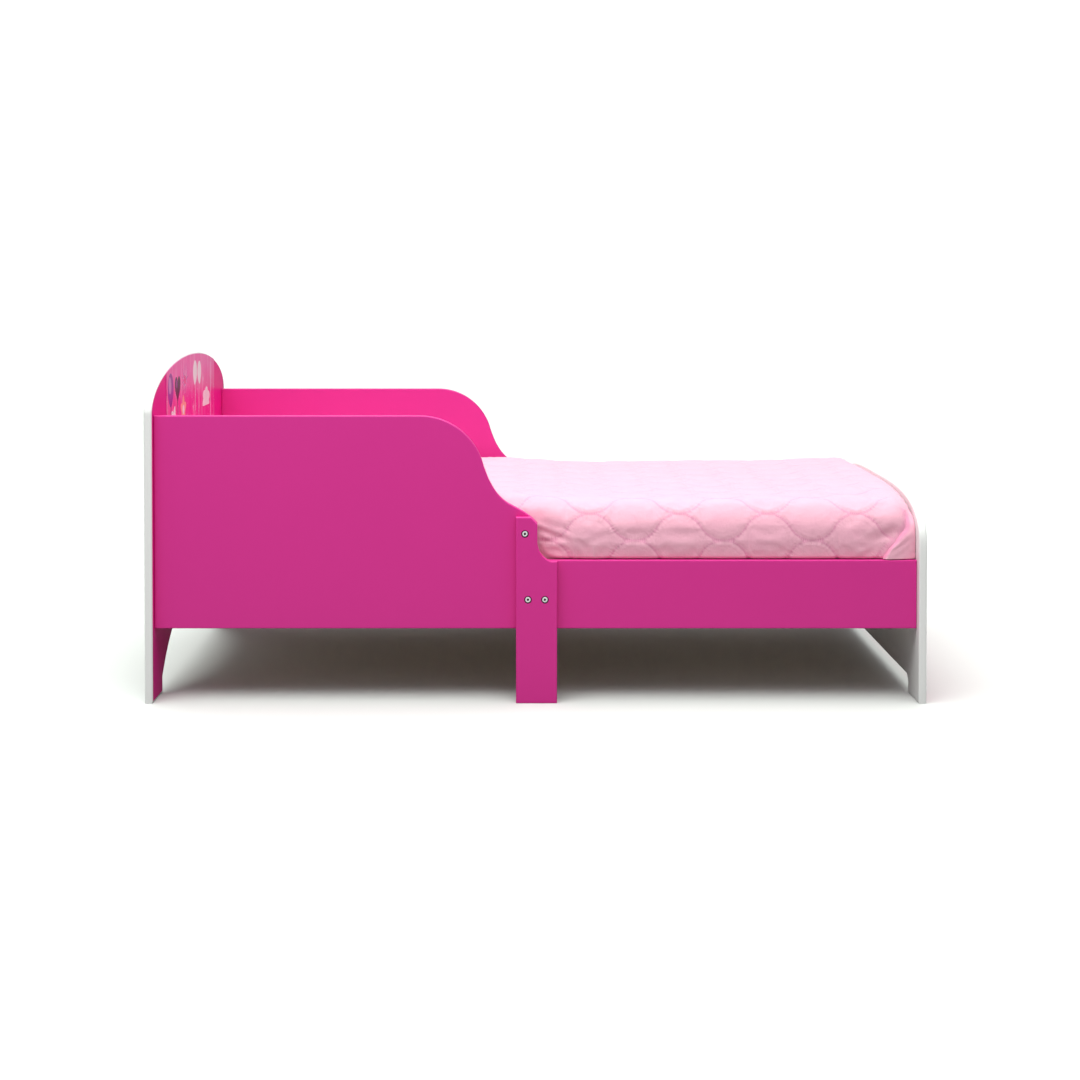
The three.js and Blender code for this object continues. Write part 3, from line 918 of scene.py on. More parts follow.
@dataclass(frozen=True)
class Motif:
    """One printed shape.

    `place` is its middle and `size` its half width and half height, across and up; `turn` is in degrees and
    `level` counts the layers of ink under it.
    """

    shape: Shape
    place: Pair
    size: Pair
    ink: int
    level: int = 1
    turn: float = 0.0

    def outline(self) -> Array:
        """The shape's outline, anticlockwise.

        Each is a curve in polar form or a pair of waves: an oval is a circle; a balloon is a circle drawn in
        below its middle; a heart is 16 sin^3 t across by 13 cos t - 5 cos 2t - 2 cos 3t - cos 4t up; a
        flower has radius 0.8 + 0.2 cos 5t, a burst alternates between long and short points, and a cloud
        has bumps of |sin 3t| above a flat foot.
        """
        t = np.linspace(0.0, math.tau, 72, endpoint=False)
        across, up = np.cos(t), np.sin(t)
        if self.shape is Shape.BALLOON:
            across = across * (1.0 - 0.28 * np.clip(-up, 0.0, 1.0) ** 1.5)
        elif self.shape is Shape.HEART:
            across = -(np.sin(t) ** 3)
            up = (13 * np.cos(t) - 5 * np.cos(2 * t) - 2 * np.cos(3 * t) - np.cos(4 * t)) / 15.0
        elif self.shape is Shape.FLOWER:
            radius = 0.8 + 0.2 * np.cos(5 * t)
            across, up = across * radius, up * radius
        elif self.shape is Shape.BURST:
            radius = np.where(np.arange(t.size) % 6 == 0, 1.0, 0.30 + 0.05 * np.cos(3 * t))
            across, up = across * radius, up * radius
        elif self.shape is Shape.CLOUD:
            radius = 0.78 + 0.22 * np.abs(np.sin(3 * t + 0.4))
            across, up = across * radius, np.maximum(up * radius, -0.45)
        elif self.shape is Shape.BAR:
            across, up = (np.sign(w) * np.abs(w) ** 0.12 for w in (across, up))
        c, s = math.cos(math.radians(self.turn)), math.sin(math.radians(self.turn))
        a, b = across * self.size[0], up * self.size[1]
        return np.column_stack((a * c - b * s, a * s + b * c)) + self.place


@dataclass(frozen=True)
class PrintBase(Finish):
    """The printed sheet's ground: a pink that deepens downwards, with soft streaks and scattered sparkles."""

    low: Color = (0.86, 0.016, 0.30)
    fade: Pair = (0.50, 0.56)
    sparkle: Color = (0.95, 0.62, 0.80)

    def make(self, effects: Effects) -> Material:
        """Builds the material: a ramp on height, noise drawn out upwards, and small round dots."""
        build, material, shader = self.start()
        place = build.place()
        height = build.parts(place)[2]
        drawn = build.add("Mapping", None, Vector=place, Scale=(1.0, 60.0, 9.0)).outputs[0]
        streak = build.remap(build.noise(drawn, 1.0, 3.0), 0.52, 0.75, 0.0, 0.38)
        ground = build.mix(build.remap(height, *self.fade, 0.0, 1.0), self.low, self.color)
        streaked = build.mix(streak, ground, self.sparkle)
        cells = build.add("TexVoronoi", None, Vector=place, Scale=95.0, Randomness=1.0)
        dots = build.remap(cells.outputs["Distance"], 0.10, 0.16, 1.0, 0.0)
        lower = build.remap(height, self.fade[0] + 0.02, self.fade[1] - 0.01, 1.0, 0.1)
        color = build.mix(build.math("MULTIPLY", dots, lower), streaked, self.sparkle)
        gloss = build.noise(place, 30.0)
        rough = build.remap(gloss, 0.3, 0.7, self.roughness - 0.05, self.roughness + 0.05)
        self.paint(build, shader, color, rough)
        return material


PRINT_HEAD = PrintBase("headboard_print_ground", (0.87, 0.12, 0.47), 0.35)
PRINT_FOOT = PrintBase("footboard_print_ground", (0.87, 0.12, 0.47), 0.35, fade=(0.12, 0.26))
INKS = tuple(
    Lacquer(f"ink_{name}", color, 0.35, peel=0.05, shine=0.5, reach=0.0002)
    for name, color in (
        ("white", (0.88, 0.84, 0.86)),
        ("purple", (0.33, 0.035, 0.36)),
        ("lilac", (0.62, 0.30, 0.60)),
        ("plum", (0.055, 0.012, 0.045)),
        ("peach", (0.95, 0.42, 0.33)),
        ("pale_pink", (0.92, 0.45, 0.68)),
        ("rose", (0.80, 0.03, 0.28)),
    )
)
WHITE_INK, PURPLE_INK, LILAC_INK, PLUM_INK, PEACH_INK, PALE_INK, ROSE_INK = range(7)


@dataclass
class Pictures:
    """Printed pictures on the two end boards: balloons, flowers, a cloud and a star burst."""

    layer: float = 0.00004
    head: tuple[Motif, ...] = (
        Motif(Shape.BAR, (-0.246, 0.45), (0.0022, 0.076), PALE_INK),
        Motif(Shape.BAR, (0.205, 0.47), (0.0030, 0.096), PALE_INK),
        Motif(Shape.BALLOON, (-0.212, 0.534), (0.026, 0.031), PURPLE_INK, 1, 4.0),
        Motif(Shape.OVAL, (-0.219, 0.543), (0.012, 0.016), LILAC_INK, 2, 12.0),
        Motif(Shape.BAR, (-0.209, 0.48), (0.0016, 0.038), PLUM_INK, 1, 2.0),
        Motif(Shape.HEART, (-0.146, 0.534), (0.026, 0.027), PLUM_INK, 2),
        Motif(Shape.OVAL, (-0.155, 0.542), (0.006, 0.008), PURPLE_INK, 3, 20.0),
        Motif(Shape.BAR, (-0.143, 0.485), (0.0020, 0.032), PLUM_INK, 1, 8.0),
        Motif(Shape.FLOWER, (-0.182, 0.478), (0.029, 0.026), WHITE_INK, 3),
        Motif(Shape.OVAL, (-0.182, 0.478), (0.009, 0.008), LILAC_INK, 4),
        Motif(Shape.FLOWER, (-0.090, 0.490), (0.029, 0.027), PEACH_INK, 3, 18.0),
        Motif(Shape.OVAL, (-0.090, 0.490), (0.009, 0.009), WHITE_INK, 4),
        Motif(Shape.BURST, (-0.074, 0.545), (0.042, 0.031), PURPLE_INK, 1, 10.0),
        Motif(Shape.BURST, (-0.074, 0.545), (0.030, 0.024), WHITE_INK, 2, 40.0),
        Motif(Shape.OVAL, (-0.074, 0.545), (0.010, 0.009), ROSE_INK, 3),
        Motif(Shape.BALLOON, (0.032, 0.553), (0.021, 0.024), WHITE_INK, 1, -6.0),
        Motif(Shape.BALLOON, (0.079, 0.551), (0.020, 0.023), WHITE_INK, 1, 6.0),
        Motif(Shape.BAR, (0.036, 0.505), (0.0012, 0.027), WHITE_INK, 1, 3.0),
        Motif(Shape.BAR, (0.076, 0.505), (0.0012, 0.025), WHITE_INK, 1, -3.0),
        Motif(Shape.CLOUD, (0.155, 0.492), (0.042, 0.026), WHITE_INK, 2),
        Motif(Shape.CLOUD, (-0.020, 0.432), (0.060, 0.030), WHITE_INK, 2),
        Motif(Shape.CLOUD, (-0.160, 0.412), (0.050, 0.024), PALE_INK, 2),
        Motif(Shape.HEART, (0.060, 0.455), (0.018, 0.018), ROSE_INK, 3, -12.0),
        Motif(Shape.FLOWER, (0.130, 0.420), (0.026, 0.026), PEACH_INK, 3, 30.0),
        Motif(Shape.OVAL, (0.130, 0.420), (0.008, 0.008), WHITE_INK, 4),
        Motif(Shape.FLOWER, (0.020, 0.520), (0.010, 0.010), ROSE_INK, 2),
        Motif(Shape.BURST, (0.120, 0.535), (0.014, 0.014), PALE_INK, 2),
        Motif(Shape.BURST, (0.012, 0.487), (0.012, 0.012), PALE_INK, 2, 20.0),
    )
    foot: tuple[Motif, ...] = (
        Motif(Shape.CLOUD, (-0.090, 0.165), (0.085, 0.045), WHITE_INK),
        Motif(Shape.CLOUD, (0.110, 0.150), (0.070, 0.036), PALE_INK),
        Motif(Shape.BAR, (-0.060, 0.170), (0.0014, 0.040), WHITE_INK, 2, -4.0),
        Motif(Shape.BAR, (0.005, 0.180), (0.0014, 0.040), WHITE_INK, 2),
        Motif(Shape.BAR, (0.070, 0.165), (0.0014, 0.040), WHITE_INK, 2, 4.0),
        Motif(Shape.BALLOON, (-0.060, 0.232), (0.030, 0.035), PURPLE_INK, 3, 4.0),
        Motif(Shape.OVAL, (-0.068, 0.244), (0.010, 0.014), LILAC_INK, 4, 15.0),
        Motif(Shape.BALLOON, (0.005, 0.244), (0.032, 0.037), PEACH_INK, 4),
        Motif(Shape.HEART, (0.072, 0.230), (0.030, 0.030), ROSE_INK, 3, -6.0),
        Motif(Shape.FLOWER, (-0.145, 0.205), (0.022, 0.022), LILAC_INK, 2),
        Motif(Shape.FLOWER, (0.145, 0.200), (0.020, 0.020), WHITE_INK, 2),
        Motif(Shape.BURST, (-0.020, 0.125), (0.026, 0.022), WHITE_INK, 2),
    )

    @staticmethod
    def head_sheet() -> Array:
        """Outline of the headboard's sheet in (Y, Z): its top follows the board's half-ellipse."""
        low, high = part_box("headboard_print")
        boards = EndBoards()
        half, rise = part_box("headboard")[1][1], high[2] - boards.head_shoulder
        end = math.degrees(math.acos(high[1] / half))
        line = Outline(90).to((low[1], low[2]), (high[1], low[2]))
        return line.arc((0.0, boards.head_shoulder), (half, rise), end, 180.0 - end).closed()

    @staticmethod
    def foot_sheet() -> Array:
        """Outline of the footboard's sheet in (Y, Z), an oval."""
        low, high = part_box("footboard_print")
        middle = ((low[1] + high[1]) / 2, (low[2] + high[2]) / 2)
        radii = ((high[1] - low[1]) / 2, (high[2] - low[2]) / 2)
        return Outline(144).arc(middle, radii, 0.0, 357.5).closed()

    def build(self, wardrobe: Wardrobe) -> None:
        """Makes the two printed sheets and lays the motifs on them as films of ink."""
        inks = [wardrobe.get(ink) for ink in INKS]
        for node, finish, outline, motifs in (
            ("headboard_print", PRINT_HEAD, self.head_sheet(), self.head),
            ("footboard_print", PRINT_FOOT, self.foot_sheet(), self.foot),
        ):
            ground = (wardrobe.get(finish),)
            sheet = rounded_board(f"{node}_sheet", outline, span_of(node, Axis.X), Axis.X, 0.0002, ground)
            register(sheet, BODY_FRAME, Slot.PRINT, node)
            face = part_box(node)[1][0]
            points, faces, marks = [], [], []
            for motif in motifs:
                shape = motif.outline()
                count, start = len(shape), sum(len(part) for part in points)
                for depth in face + self.layer * np.array([-1.0, motif.level]):
                    points.append(place_profile(shape, np.full(count, depth), Axis.X))
                rim = grid_faces(2, count, wrap=True) + start
                faces += rim.tolist() + [list(range(start, start + count))[::-1]]
                faces.append(list(range(start + count, start + 2 * count)))
                marks += [motif.ink] * (count + 2)
            picture = new_object(node.replace("print", "picture"), np.concatenate(points), faces, inks)
            picture.data.polygons.foreach_set("material_index", np.array(marks, np.int32))
            picture.data.polygons.foreach_set("use_smooth", np.zeros(len(marks), bool))
            register(picture, BODY_FRAME, Slot.PRINT)


@dataclass
class Fasteners:
    """Hexagon-socket bolts with round heads, and the plain nuts that take them."""

    head_radius: float = 0.0047
    head_height: float = 0.0036
    shank_radius: float = 0.003
    socket: float = 0.0018
    socket_depth: float = 0.0026
    chamfer: float = 0.0006
    columns: int = 48

    def rings(self, length: float) -> Array:
        """Radius and height of each row of a bolt, from the socket's floor round to the shank's tip.

        The socket's rows have the radius of a hexagon, its flat distance over the cosine of the angle from
        the nearest flat. Every other row is round. Height 0 is the head's outer face.
        """
        turn = np.arange(self.columns) * math.tau / self.columns
        nearest = (turn + math.pi / 6) % (math.pi / 3) - math.pi / 6
        hexagon = self.socket / np.cos(nearest)
        one = np.ones(self.columns)
        r, h, c, k = self.head_radius, self.head_height, self.chamfer, self.shank_radius
        rows = [(0.0 * one, -self.socket_depth - 0.0004), (hexagon, -self.socket_depth)]
        rows += [(hexagon, -0.0002), (hexagon + 0.0003, 0.0)]
        bend = np.linspace(0.0, math.pi / 2, 5)
        rows += [((r - c + c * math.sin(t)) * one, -c * (1 - math.cos(t))) for t in bend]
        rows += [(r * one, -h + 0.0003), ((r - 0.0003) * one, -h), (k * one, -h)]
        rows += [(k * one, -length + 0.0008), ((k - 0.0008) * one, -length), (0.0 * one, -length)]
        return stack_rings(rows, self.columns)

    def build(self, wardrobe: Wardrobe) -> None:
        """Makes each bolt along its node's long side, head outwards, and plates the nuts."""
        # recess is the near-black painted shade for the sockets' insides.
        zinc, recess = wardrobe.get(ZINC), wardrobe.get(SOCKET_SHADE)
        for node in nodes_named("leg_bolt", "head_bolt", "foot_bolt"):
            low, high = (np.array(corner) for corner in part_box(node))
            along = int(np.argmax(high - low))
            out = np.zeros(3)
            out[along] = math.copysign(1.0, low[along] + high[along])
            face = (low + high) / 2
            face[along] = high[along] if out[along] > 0 else low[along]
            bolt = revolve(f"{node}_screw", self.rings(high[along] - low[along]), face, out, (zinc, recess))
            self._shade(bolt, face, out)
            register(bolt, BODY_FRAME, Slot.STEEL, node)
        for node in nodes_named("beam_nut", "head_nut", "foot_nut", "sleeve_nut"):
            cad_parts[node].data.materials.clear()
            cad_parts[node].data.materials.append(zinc)

    def _shade(self, bolt: Thing, face: Array, out: Array) -> None:
        """Gives the socket's wall and floor a near-black material, painted shade in the recess: the faces
        inside the hexagon.
        """
        count = len(bolt.data.polygons)
        middle = np.empty(count * 3)
        bolt.data.polygons.foreach_get("center", middle)
        away = middle.reshape(-1, 3) - face
        height = away @ out
        radius = np.linalg.norm(away - height[:, None] * out, axis=1)
        inside = (radius < self.socket / math.cos(math.pi / 6) + 0.00005) & (height < -0.00005)
        inside &= height > -self.socket_depth - 0.001
        bolt.data.polygons.foreach_set("material_index", inside.astype(np.int32))


@dataclass
class Deck:
    """Slats, cleats and the centre beam, planed softwood with eased edges."""

    easing: float = 0.002
    cleats: tuple[str, ...] = ("guard", "rail", "head", "foot")

    def build(self, wardrobe: Wardrobe) -> None:
        """Makes each timber from its node's box. The beam keeps the bores of its bolts and barrel nuts."""
        for node in nodes_named("slat", *(f"{place}_cleat" for place in self.cleats), "centre_beam"):
            low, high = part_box(node)
            lengthwise = high[0] - low[0] > high[1] - low[1]
            grain = wardrobe.get(PINE_X if lengthwise else PINE_Y)
            axis = Axis.Y if lengthwise else Axis.X
            outline, span = oblong(low, high, 0 if lengthwise else 1), span_of(node, axis)
            timber = rounded_board(f"{node}_timber", outline, span, axis, self.easing, (grain,))
            if node == "centre_beam":
                self._bore(timber)
            register(timber, BODY_FRAME, Slot.PINE, node)

    @staticmethod
    def _bore(beam: Thing) -> None:
        """Opens the beam's ends for the bolts and its underside for the barrel nuts."""
        cutters = []
        low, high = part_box("centre_beam")
        for bolt in nodes_named(*(f"leg_bolt_{side}_{n}" for side in ("near", "far") for n in (1, 2))):
            side = -1.0 if "near" in bolt else 1.0
            mouth = middle_of(bolt)
            mouth[1] = high[1] * side
            cutters.append(bore_cutter(mouth, np.array([0.0, side, 0.0]), 0.0034, 0.001, 0.0033, 0.046))
            nut = middle_of(bolt.replace("leg_bolt", "beam_nut"))
            nut[2] = low[2]
            cutters.append(bore_cutter(nut, np.array([0.0, 0.0, -1.0]), 0.0053, 0.0208, 0.004, 0.021))
        carve(beam, cutters)


@dataclass
class SlatScrews:
    """Countersunk cross-head wood screws, two to a slat, flush with its top."""

    radius: float = 0.0038
    recess: float = 0.0023
    depth: float = 0.0013
    sink: float = 0.0030
    edge: float = 0.0170
    columns: int = 32

    def build(self, wardrobe: Wardrobe) -> None:
        """Makes all the screws as one piece: a cone under a flat head with a recess of |cos 2t|^3 arms."""
        turn = np.arange(self.columns) * math.tau / self.columns
        cross = 0.0007 + (self.recess - 0.0007) * np.abs(np.cos(2 * turn)) ** 3
        one = np.ones(self.columns)
        rows = ((0 * one, -self.depth), (0.7 * cross, -self.depth), (cross, 0.0), (self.radius * one, 0.0))
        rows += ((self.radius * one, -0.0004), (0.0019 * one, -self.sink), (0 * one, -self.sink))
        rings = stack_rings(rows, self.columns)
        parts = []
        for slat in nodes_named("slat"):
            (_, low_y, _), (_, high_y, top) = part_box(slat)
            for y in (low_y + self.edge, high_y - self.edge):
                parts.append(np.array([middle_of(slat)[0], y, top + 0.0001]))
        radial = np.column_stack((np.cos(turn), np.sin(turn)))
        flat = np.concatenate((rings[..., :1] * radial, rings[..., 1:]), axis=2).reshape(-1, 3)
        points = (np.array(parts)[:, None] + flat[None]).reshape(-1, 3)
        faces = grid_faces(len(rows), self.columns, wrap=True)
        every = (faces[None] + (np.arange(len(parts)) * len(flat))[:, None, None]).reshape(-1, 4)
        screws = new_object("slat_screws", points, every.tolist(), (wardrobe.get(ZINC),))
        finish_mesh(screws, merge=1e-7)
        register(screws, BODY_FRAME, Slot.STEEL)


@dataclass(frozen=True)
class Quilting:
    """Rows of waves made of 120-degree arcs; every crest touches a trough of the next row up."""

    wavelength: float = 0.1555
    crest_x: float = 0.0952
    midline: float = -0.3743

    def nearest(self, u: Array, v: Array) -> tuple[Array, Array, Array, Array]:
        """The nearest stitch of each point of the flat cloth.

        A wave's radius is a quarter of its length over sin 60 degrees, and its rows are one radius apart. A
        crest's circle is centred half a radius below the midline and a trough's half a radius above it. The
        distance to the seam is the distance to the nearer row's circle.

        Args:
            u: the points' places along the bed.
            v: their places across it, on the flat cloth.

        Returns:
            The distance to the seam, the seam's nearest point (u, v), and the length along the seam.
        """
        radius = self.radius
        half = self.wavelength / 2
        floor = np.floor((v - self.midline) / radius)
        best = np.full(u.shape, np.inf)
        out = [np.zeros(u.shape) for _ in range(3)]
        for row in (floor, floor + 1):
            shift = self.crest_x + np.where(row % 2 == 0, 0.0, half)
            count = np.round((u - shift) / half)
            centre_u = shift + count * half
            side = np.where(count % 2 == 0, -0.5, 0.5) * radius
            centre_v = self.midline + row * radius + side
            du, dv = u - centre_u, v - centre_v
            reach = np.maximum(np.hypot(du, dv), 1e-6)
            gap = np.abs(reach - radius)
            turn = np.arctan2(du, np.abs(dv))
            length = centre_u * 1.209 + radius * turn
            found = (centre_u + du * radius / reach, centre_v + dv * radius / reach, length)
            closer = gap < best
            best = np.where(closer, gap, best)
            out = [np.where(closer, new, old) for new, old in zip(found, out)]
        return best, out[0], out[1], out[2]

    @property
    def radius(self) -> float:
        """Radius of the arcs."""
        return self.wavelength / 4 / math.sin(math.radians(60))


@dataclass(frozen=True)
class Crease:
    """A ridge (or, with a negative height, a hollow) along a straight line on the near side, mirrored far."""

    start: Pair
    end: Pair
    height: float
    width: float

    def relief(self, x: Array, z: Array) -> Array:
        """Height at (x, z): a bell across the line, times a half-sine along it that fades at its ends."""
        a, b = np.array(self.start), np.array(self.end)
        way = b - a
        length = float(np.hypot(*way))
        along = ((x - a[0]) * way[0] + (z - a[1]) * way[1]) / length**2
        across = ((x - a[0]) * way[1] - (z - a[1]) * way[0]) / length
        fade = np.sqrt(np.clip(np.sin(math.pi * np.clip(along, -0.08, 1.08) / 1.16 + 0.216), 0.0, 1.0))
        fade = fade * (along > -0.08) * (along < 1.08)
        return self.height * fade * np.exp(-((across / self.width) ** 2))


@dataclass
class Layer:
    """The points of one layer of the cover and what goes with each of them.

    `cloth` is a point's place on the flat cloth, `axes` the directions in space of the flat cloth's two
    axes, `side` is 0 on the top and 1 on an upright side, and `fan` is 0 away from the corners' columns.
    The first `top` points are the top's grid, `foot` the one that each column stands at and `rim` its last.
    """

    points: Array
    normals: Array
    cloth: Array
    axes: Array
    side: Array
    fan: Array
    faces: list
    rim: Array
    foot: Array
    top: int


# The cover's simulation: stiffnesses, a little slack in the cloth (a negative shrink) and the filling's push.
COTTON_IN_MOTION = {
    "quality": 4,
    "mass": 0.25,
    "tension_stiffness": 18.0,
    "compression_stiffness": 18.0,
    "shear_stiffness": 6.0,
    "bending_stiffness": 0.4,
    "shrink_min": -0.02,
    "shrink_max": -0.02,
    "use_pressure": True,
    "uniform_pressure_force": 1.5,
}


@dataclass
class QuiltedCover:
    """The mattress's quilted cover: a thin closed sheet over the top and sides, turned in underneath."""

    ease: float = 0.0028
    corner: float = 0.038
    shoulder: float = 0.034
    heel: float = 0.010
    squareness: float = 6.0
    wall: float = 0.0034
    spacing: float = 0.0042
    coarse: int = 3
    puff: float = 0.0046
    ridge: float = 0.279
    frames: int = 14
    cap: float = 0.0065
    swell: float = 0.65
    overhang: float = 0.0110
    rise: float = 0.0058
    cut: Pair = (1.08, 1.72)
    quilting: Quilting = field(default_factory=Quilting)
    flap: tuple[Pair, ...] = (
        (0.0250, 0.3455),
        (0.0195, 0.3180),
        (0.0115, 0.2900),
        (-0.0030, 0.2700),
        (-0.0165, 0.2494),
    )
    creases: tuple[Crease, ...] = (
        Crease((0.004, 0.306), (0.062, 0.288), 0.0022, 0.0055),
        Crease((0.002, 0.298), (0.056, 0.281), -0.0024, 0.0050),
        Crease((0.006, 0.289), (0.050, 0.276), 0.0022, 0.0045),
        Crease((0.010, 0.280), (0.078, 0.279), -0.0024, 0.0045),
        Crease((0.014, 0.268), (0.090, 0.286), 0.0020, 0.0055),
        Crease((0.012, 0.259), (0.046, 0.252), 0.0022, 0.0050),
        Crease((0.100, 0.276), (0.104, 0.240), 0.0020, 0.0070),
        Crease((0.073, 0.262), (0.078, 0.245), -0.0022, 0.0040),
        Crease((0.575, 0.265), (0.648, 0.308), -0.0060, 0.0120),
        Crease((0.560, 0.257), (0.618, 0.286), 0.0022, 0.0055),
    )

    def box(self) -> tuple[Array, Array]:
        """Half length, half width, bottom and top of the cover's resting surface, and its middle."""
        low, high = (np.array(corner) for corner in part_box("mattress_cover"))
        half = (high - low) / 2 - self.ease
        return np.array([half[0], half[1], low[2] + 0.0004, high[2] - self.ease]), (low + high) / 2

    def section(self, inset: float, step: float, way: Array) -> tuple[Array, Array, Array, Array]:
        """The section from the top's rim down the side and in underneath, for columns facing each way.

        A flat stretch, a quarter turn, the straight side, a smaller quarter turn and the flat hem, as points
        at even steps of length; below the rails' tops the steps are twice as long. The upper turn is a
        superellipse, (sin^m + cos^m)^(-1/m) times the radius, which is round on the long sides (m = 2) and
        nearly square at the foot, where the cloth is pressed against the board.

        Args:
            inset: how far inside the resting surface the section lies.
            step: length of a step.
            way: each column's direction in plan.

        Returns:
            The way out and the height, rows by columns; each row's angle; and its length along the section.
        """
        (_, _, bottom, top), _ = self.box()
        c, r, k = self.corner - inset, self.shoulder - inset, self.heel - inset * 0.5
        top, bottom = top - inset, bottom + inset
        flat = c - r
        side = top - r - (bottom + k)
        lengths = (flat, r * math.pi / 2, side, k * math.pi / 2, c - k - 0.004)
        marks = np.concatenate(([0.0], np.cumsum(lengths)))
        seen = marks[2] + side * 0.68
        upper = np.linspace(0.0, seen, int(round(seen / step)) + 1)
        lower = np.linspace(seen, marks[-1], int(round((marks[-1] - seen) / step / 2)) + 1)[1:]
        s = np.concatenate((upper, lower))[:, None]
        bend = np.clip((s - marks[1]) / r, 0.0, math.pi / 2)
        tuck = np.clip((s - marks[3]) / k, 0.0, math.pi / 2)
        m = 2.0 + (self.squareness - 2.0) * np.clip(way[:, 0], 0.0, 1.0) ** 2
        full = r * (np.sin(bend) ** m + np.cos(bend) ** m) ** (-1.0 / m)
        out = np.minimum(s, flat) + full * np.sin(bend)
        out = out - k * (1.0 - np.cos(tuck)) - np.clip(s - marks[4], 0.0, None)
        height = top - r + full * np.cos(bend) - np.clip(s - marks[2], 0.0, side) - k * np.sin(tuck)
        return out, height, (bend + tuck)[:, 0], s[:, 0]

    def layer(self, inset: float, share: int) -> Layer:
        """One layer as a mesh: a grid over the top, and columns of the section all round it.

        The columns stand at the top grid's rim, square to it, and fan out at its corners. A ring point is
        its column's foot plus the section's way out along the column, at the section's height.

        Args:
            inset: how far inside the resting surface the layer lies.
            share: 1 for the full number of columns, 3 for a third of them.

        Returns:
            The layer, its faces turned outwards, with the indices of its inner rim.
        """
        (length, width, _, top), centre = self.box()
        a, b = length - self.corner, width - self.corner
        step = self.spacing * share
        nx, ny, nf = (self._count(extent, share) for extent in (2 * a, 2 * b, self.corner * math.pi / 2))
        x, y = np.linspace(-a, a, nx + 1), np.linspace(-b, b, ny + 1)
        grid_x, grid_y = np.meshgrid(x, y)
        plan = np.stack((grid_x.ravel(), grid_y.ravel()), axis=1)
        index = np.arange(plan.shape[0]).reshape(ny + 1, nx + 1)
        sides = (index[0], index[:, -1], index[-1, ::-1], index[::-1, 0])
        feet, turns = [], []
        for number, side in enumerate(sides):
            facing = -90.0 + 90.0 * number
            feet += [side, np.full(nf - 1, side[-1])]
            turns += [np.full(side.size, facing), facing + 90.0 * np.arange(1, nf) / nf]
        foot, turn = np.concatenate(feet), np.radians(np.concatenate(turns))
        way = np.stack((np.cos(turn), np.sin(turn)), axis=1)
        out, height, angle, s = (values[1:] for values in self.section(inset, step, way))
        fullness = np.sum(np.abs(way) ** self.squareness, axis=1, keepdims=True) ** (-1.0 / self.squareness)
        ring = plan[foot][None] + (way * fullness)[None] * out[..., None]
        lean = way[None] * np.sin(angle)[:, None, None]
        tilt = np.broadcast_to(np.cos(angle)[:, None], height.shape)
        flat = np.full(plan.shape[0], top - inset)
        points = np.concatenate((np.column_stack((plan, flat)), np.dstack((ring, height)).reshape(-1, 3)))
        points[:, :2] += centre[:2]
        upright = np.tile((0.0, 0.0, 1.0), (plan.shape[0], 1))
        normals = np.concatenate((upright, np.dstack((lean, tilt)).reshape(-1, 3)))
        cloth = np.concatenate((plan, (plan[foot][None] + way[None] * s[:, None, None]).reshape(-1, 2)))
        square = np.stack((-way[:, 1], way[:, 0]), axis=1)
        down = np.dstack((way[None] * tilt[..., None], np.broadcast_to(-np.sin(angle)[:, None], tilt.shape)))
        level = np.column_stack((square, np.zeros(len(way))))
        axes = [way[None, :, i, None] * down + (square[:, i, None] * level)[None] for i in (0, 1)]
        flat_axes = np.tile(np.eye(3)[:2], (plan.shape[0], 1, 1))
        axes = np.concatenate((flat_axes, np.stack(axes, axis=2).reshape(-1, 2, 3)))
        side = np.concatenate((np.zeros(plan.shape[0]), np.repeat(np.sin(angle), foot.size)))
        odd = np.round(np.minimum(np.degrees(turn) % 90.0, 90.0 - np.degrees(turn) % 90.0) / 45.0, 6)
        fan = np.concatenate((np.zeros(plan.shape[0]), np.tile(odd, len(s))))
        ring_index = plan.shape[0] + np.arange(height.size).reshape(height.shape)
        whole = np.concatenate((foot[None], ring_index))
        after = np.roll(whole, -1, axis=1)
        quads = np.stack((whole[:-1], whole[1:], after[1:], after[:-1]), axis=-1).reshape(-1, 4)
        pinched = quads[:, 0] == quads[:, 3]
        faces = grid_faces(*index.shape).tolist() + quads[~pinched].tolist() + quads[pinched][:, :3].tolist()
        return Layer(points, normals, cloth, axes, side, fan, faces, whole[-1], foot, plan.shape[0])

    def _count(self, extent: float, share: int) -> int:
        """How many steps cover an extent: a multiple of the coarse share, divided by this layer's."""
        return round(extent / self.spacing / self.coarse) * self.coarse // share

    def relief(self, layer: Layer) -> Array:
        """How far the tucked cloth stands from the resting surface, apart from its quilting.

        On the top: a lift beside the guards, a shallow dip past them and slow waves. On the sides: a long
        ridge half-way up with a hollow over it, an undercut below it, and the creases, which fade out on the
        ends of the bed.

        Args:
            layer: the cover's outer or inner layer.

        Returns:
            The distance along each point's normal.
        """
        x, y, z = layer.points.T
        (_, width, _, top), _ = self.box()
        flat = 1.0 - smooth(layer.side, 0.05, 0.7)
        beside = smooth(x, 0.085, -0.06) * (0.35 + 0.65 * smooth(np.abs(y), 0.15, 0.33))
        waves = np.sin(9.0 * x + 2.0 * y) * np.sin(11.0 * y + 1.0) + 0.6 * np.sin(23.0 * x - 8.0 * y + 2.0)
        height = flat * (0.0075 * beside - 0.002 * bell(x, 0.11, 0.05) + 0.0009 * waves)
        upright = smooth(layer.side, 0.3, 0.95)
        sideways = self.facing(layer.normals)
        run = x + y
        drift = 0.65 + 0.35 * np.sin(21.0 * run + 1.0) * np.sin(8.3 * run)
        line = self.ridge + 0.003 * np.sin(13.0 * run + 0.5)
        body = 0.0019 * drift * bell(z, line, 0.006) - 0.0015 * drift * bell(z, line + 0.017, 0.008)
        body -= 0.003 * smooth(z, line - 0.002, self.ridge - 0.030)
        body += self.outward(x, z, sideways)
        flank = np.abs(layer.normals[:, 1]) * (1.0 - layer.fan)
        for crease in self.creases:
            body += flank * crease.relief(x, z)
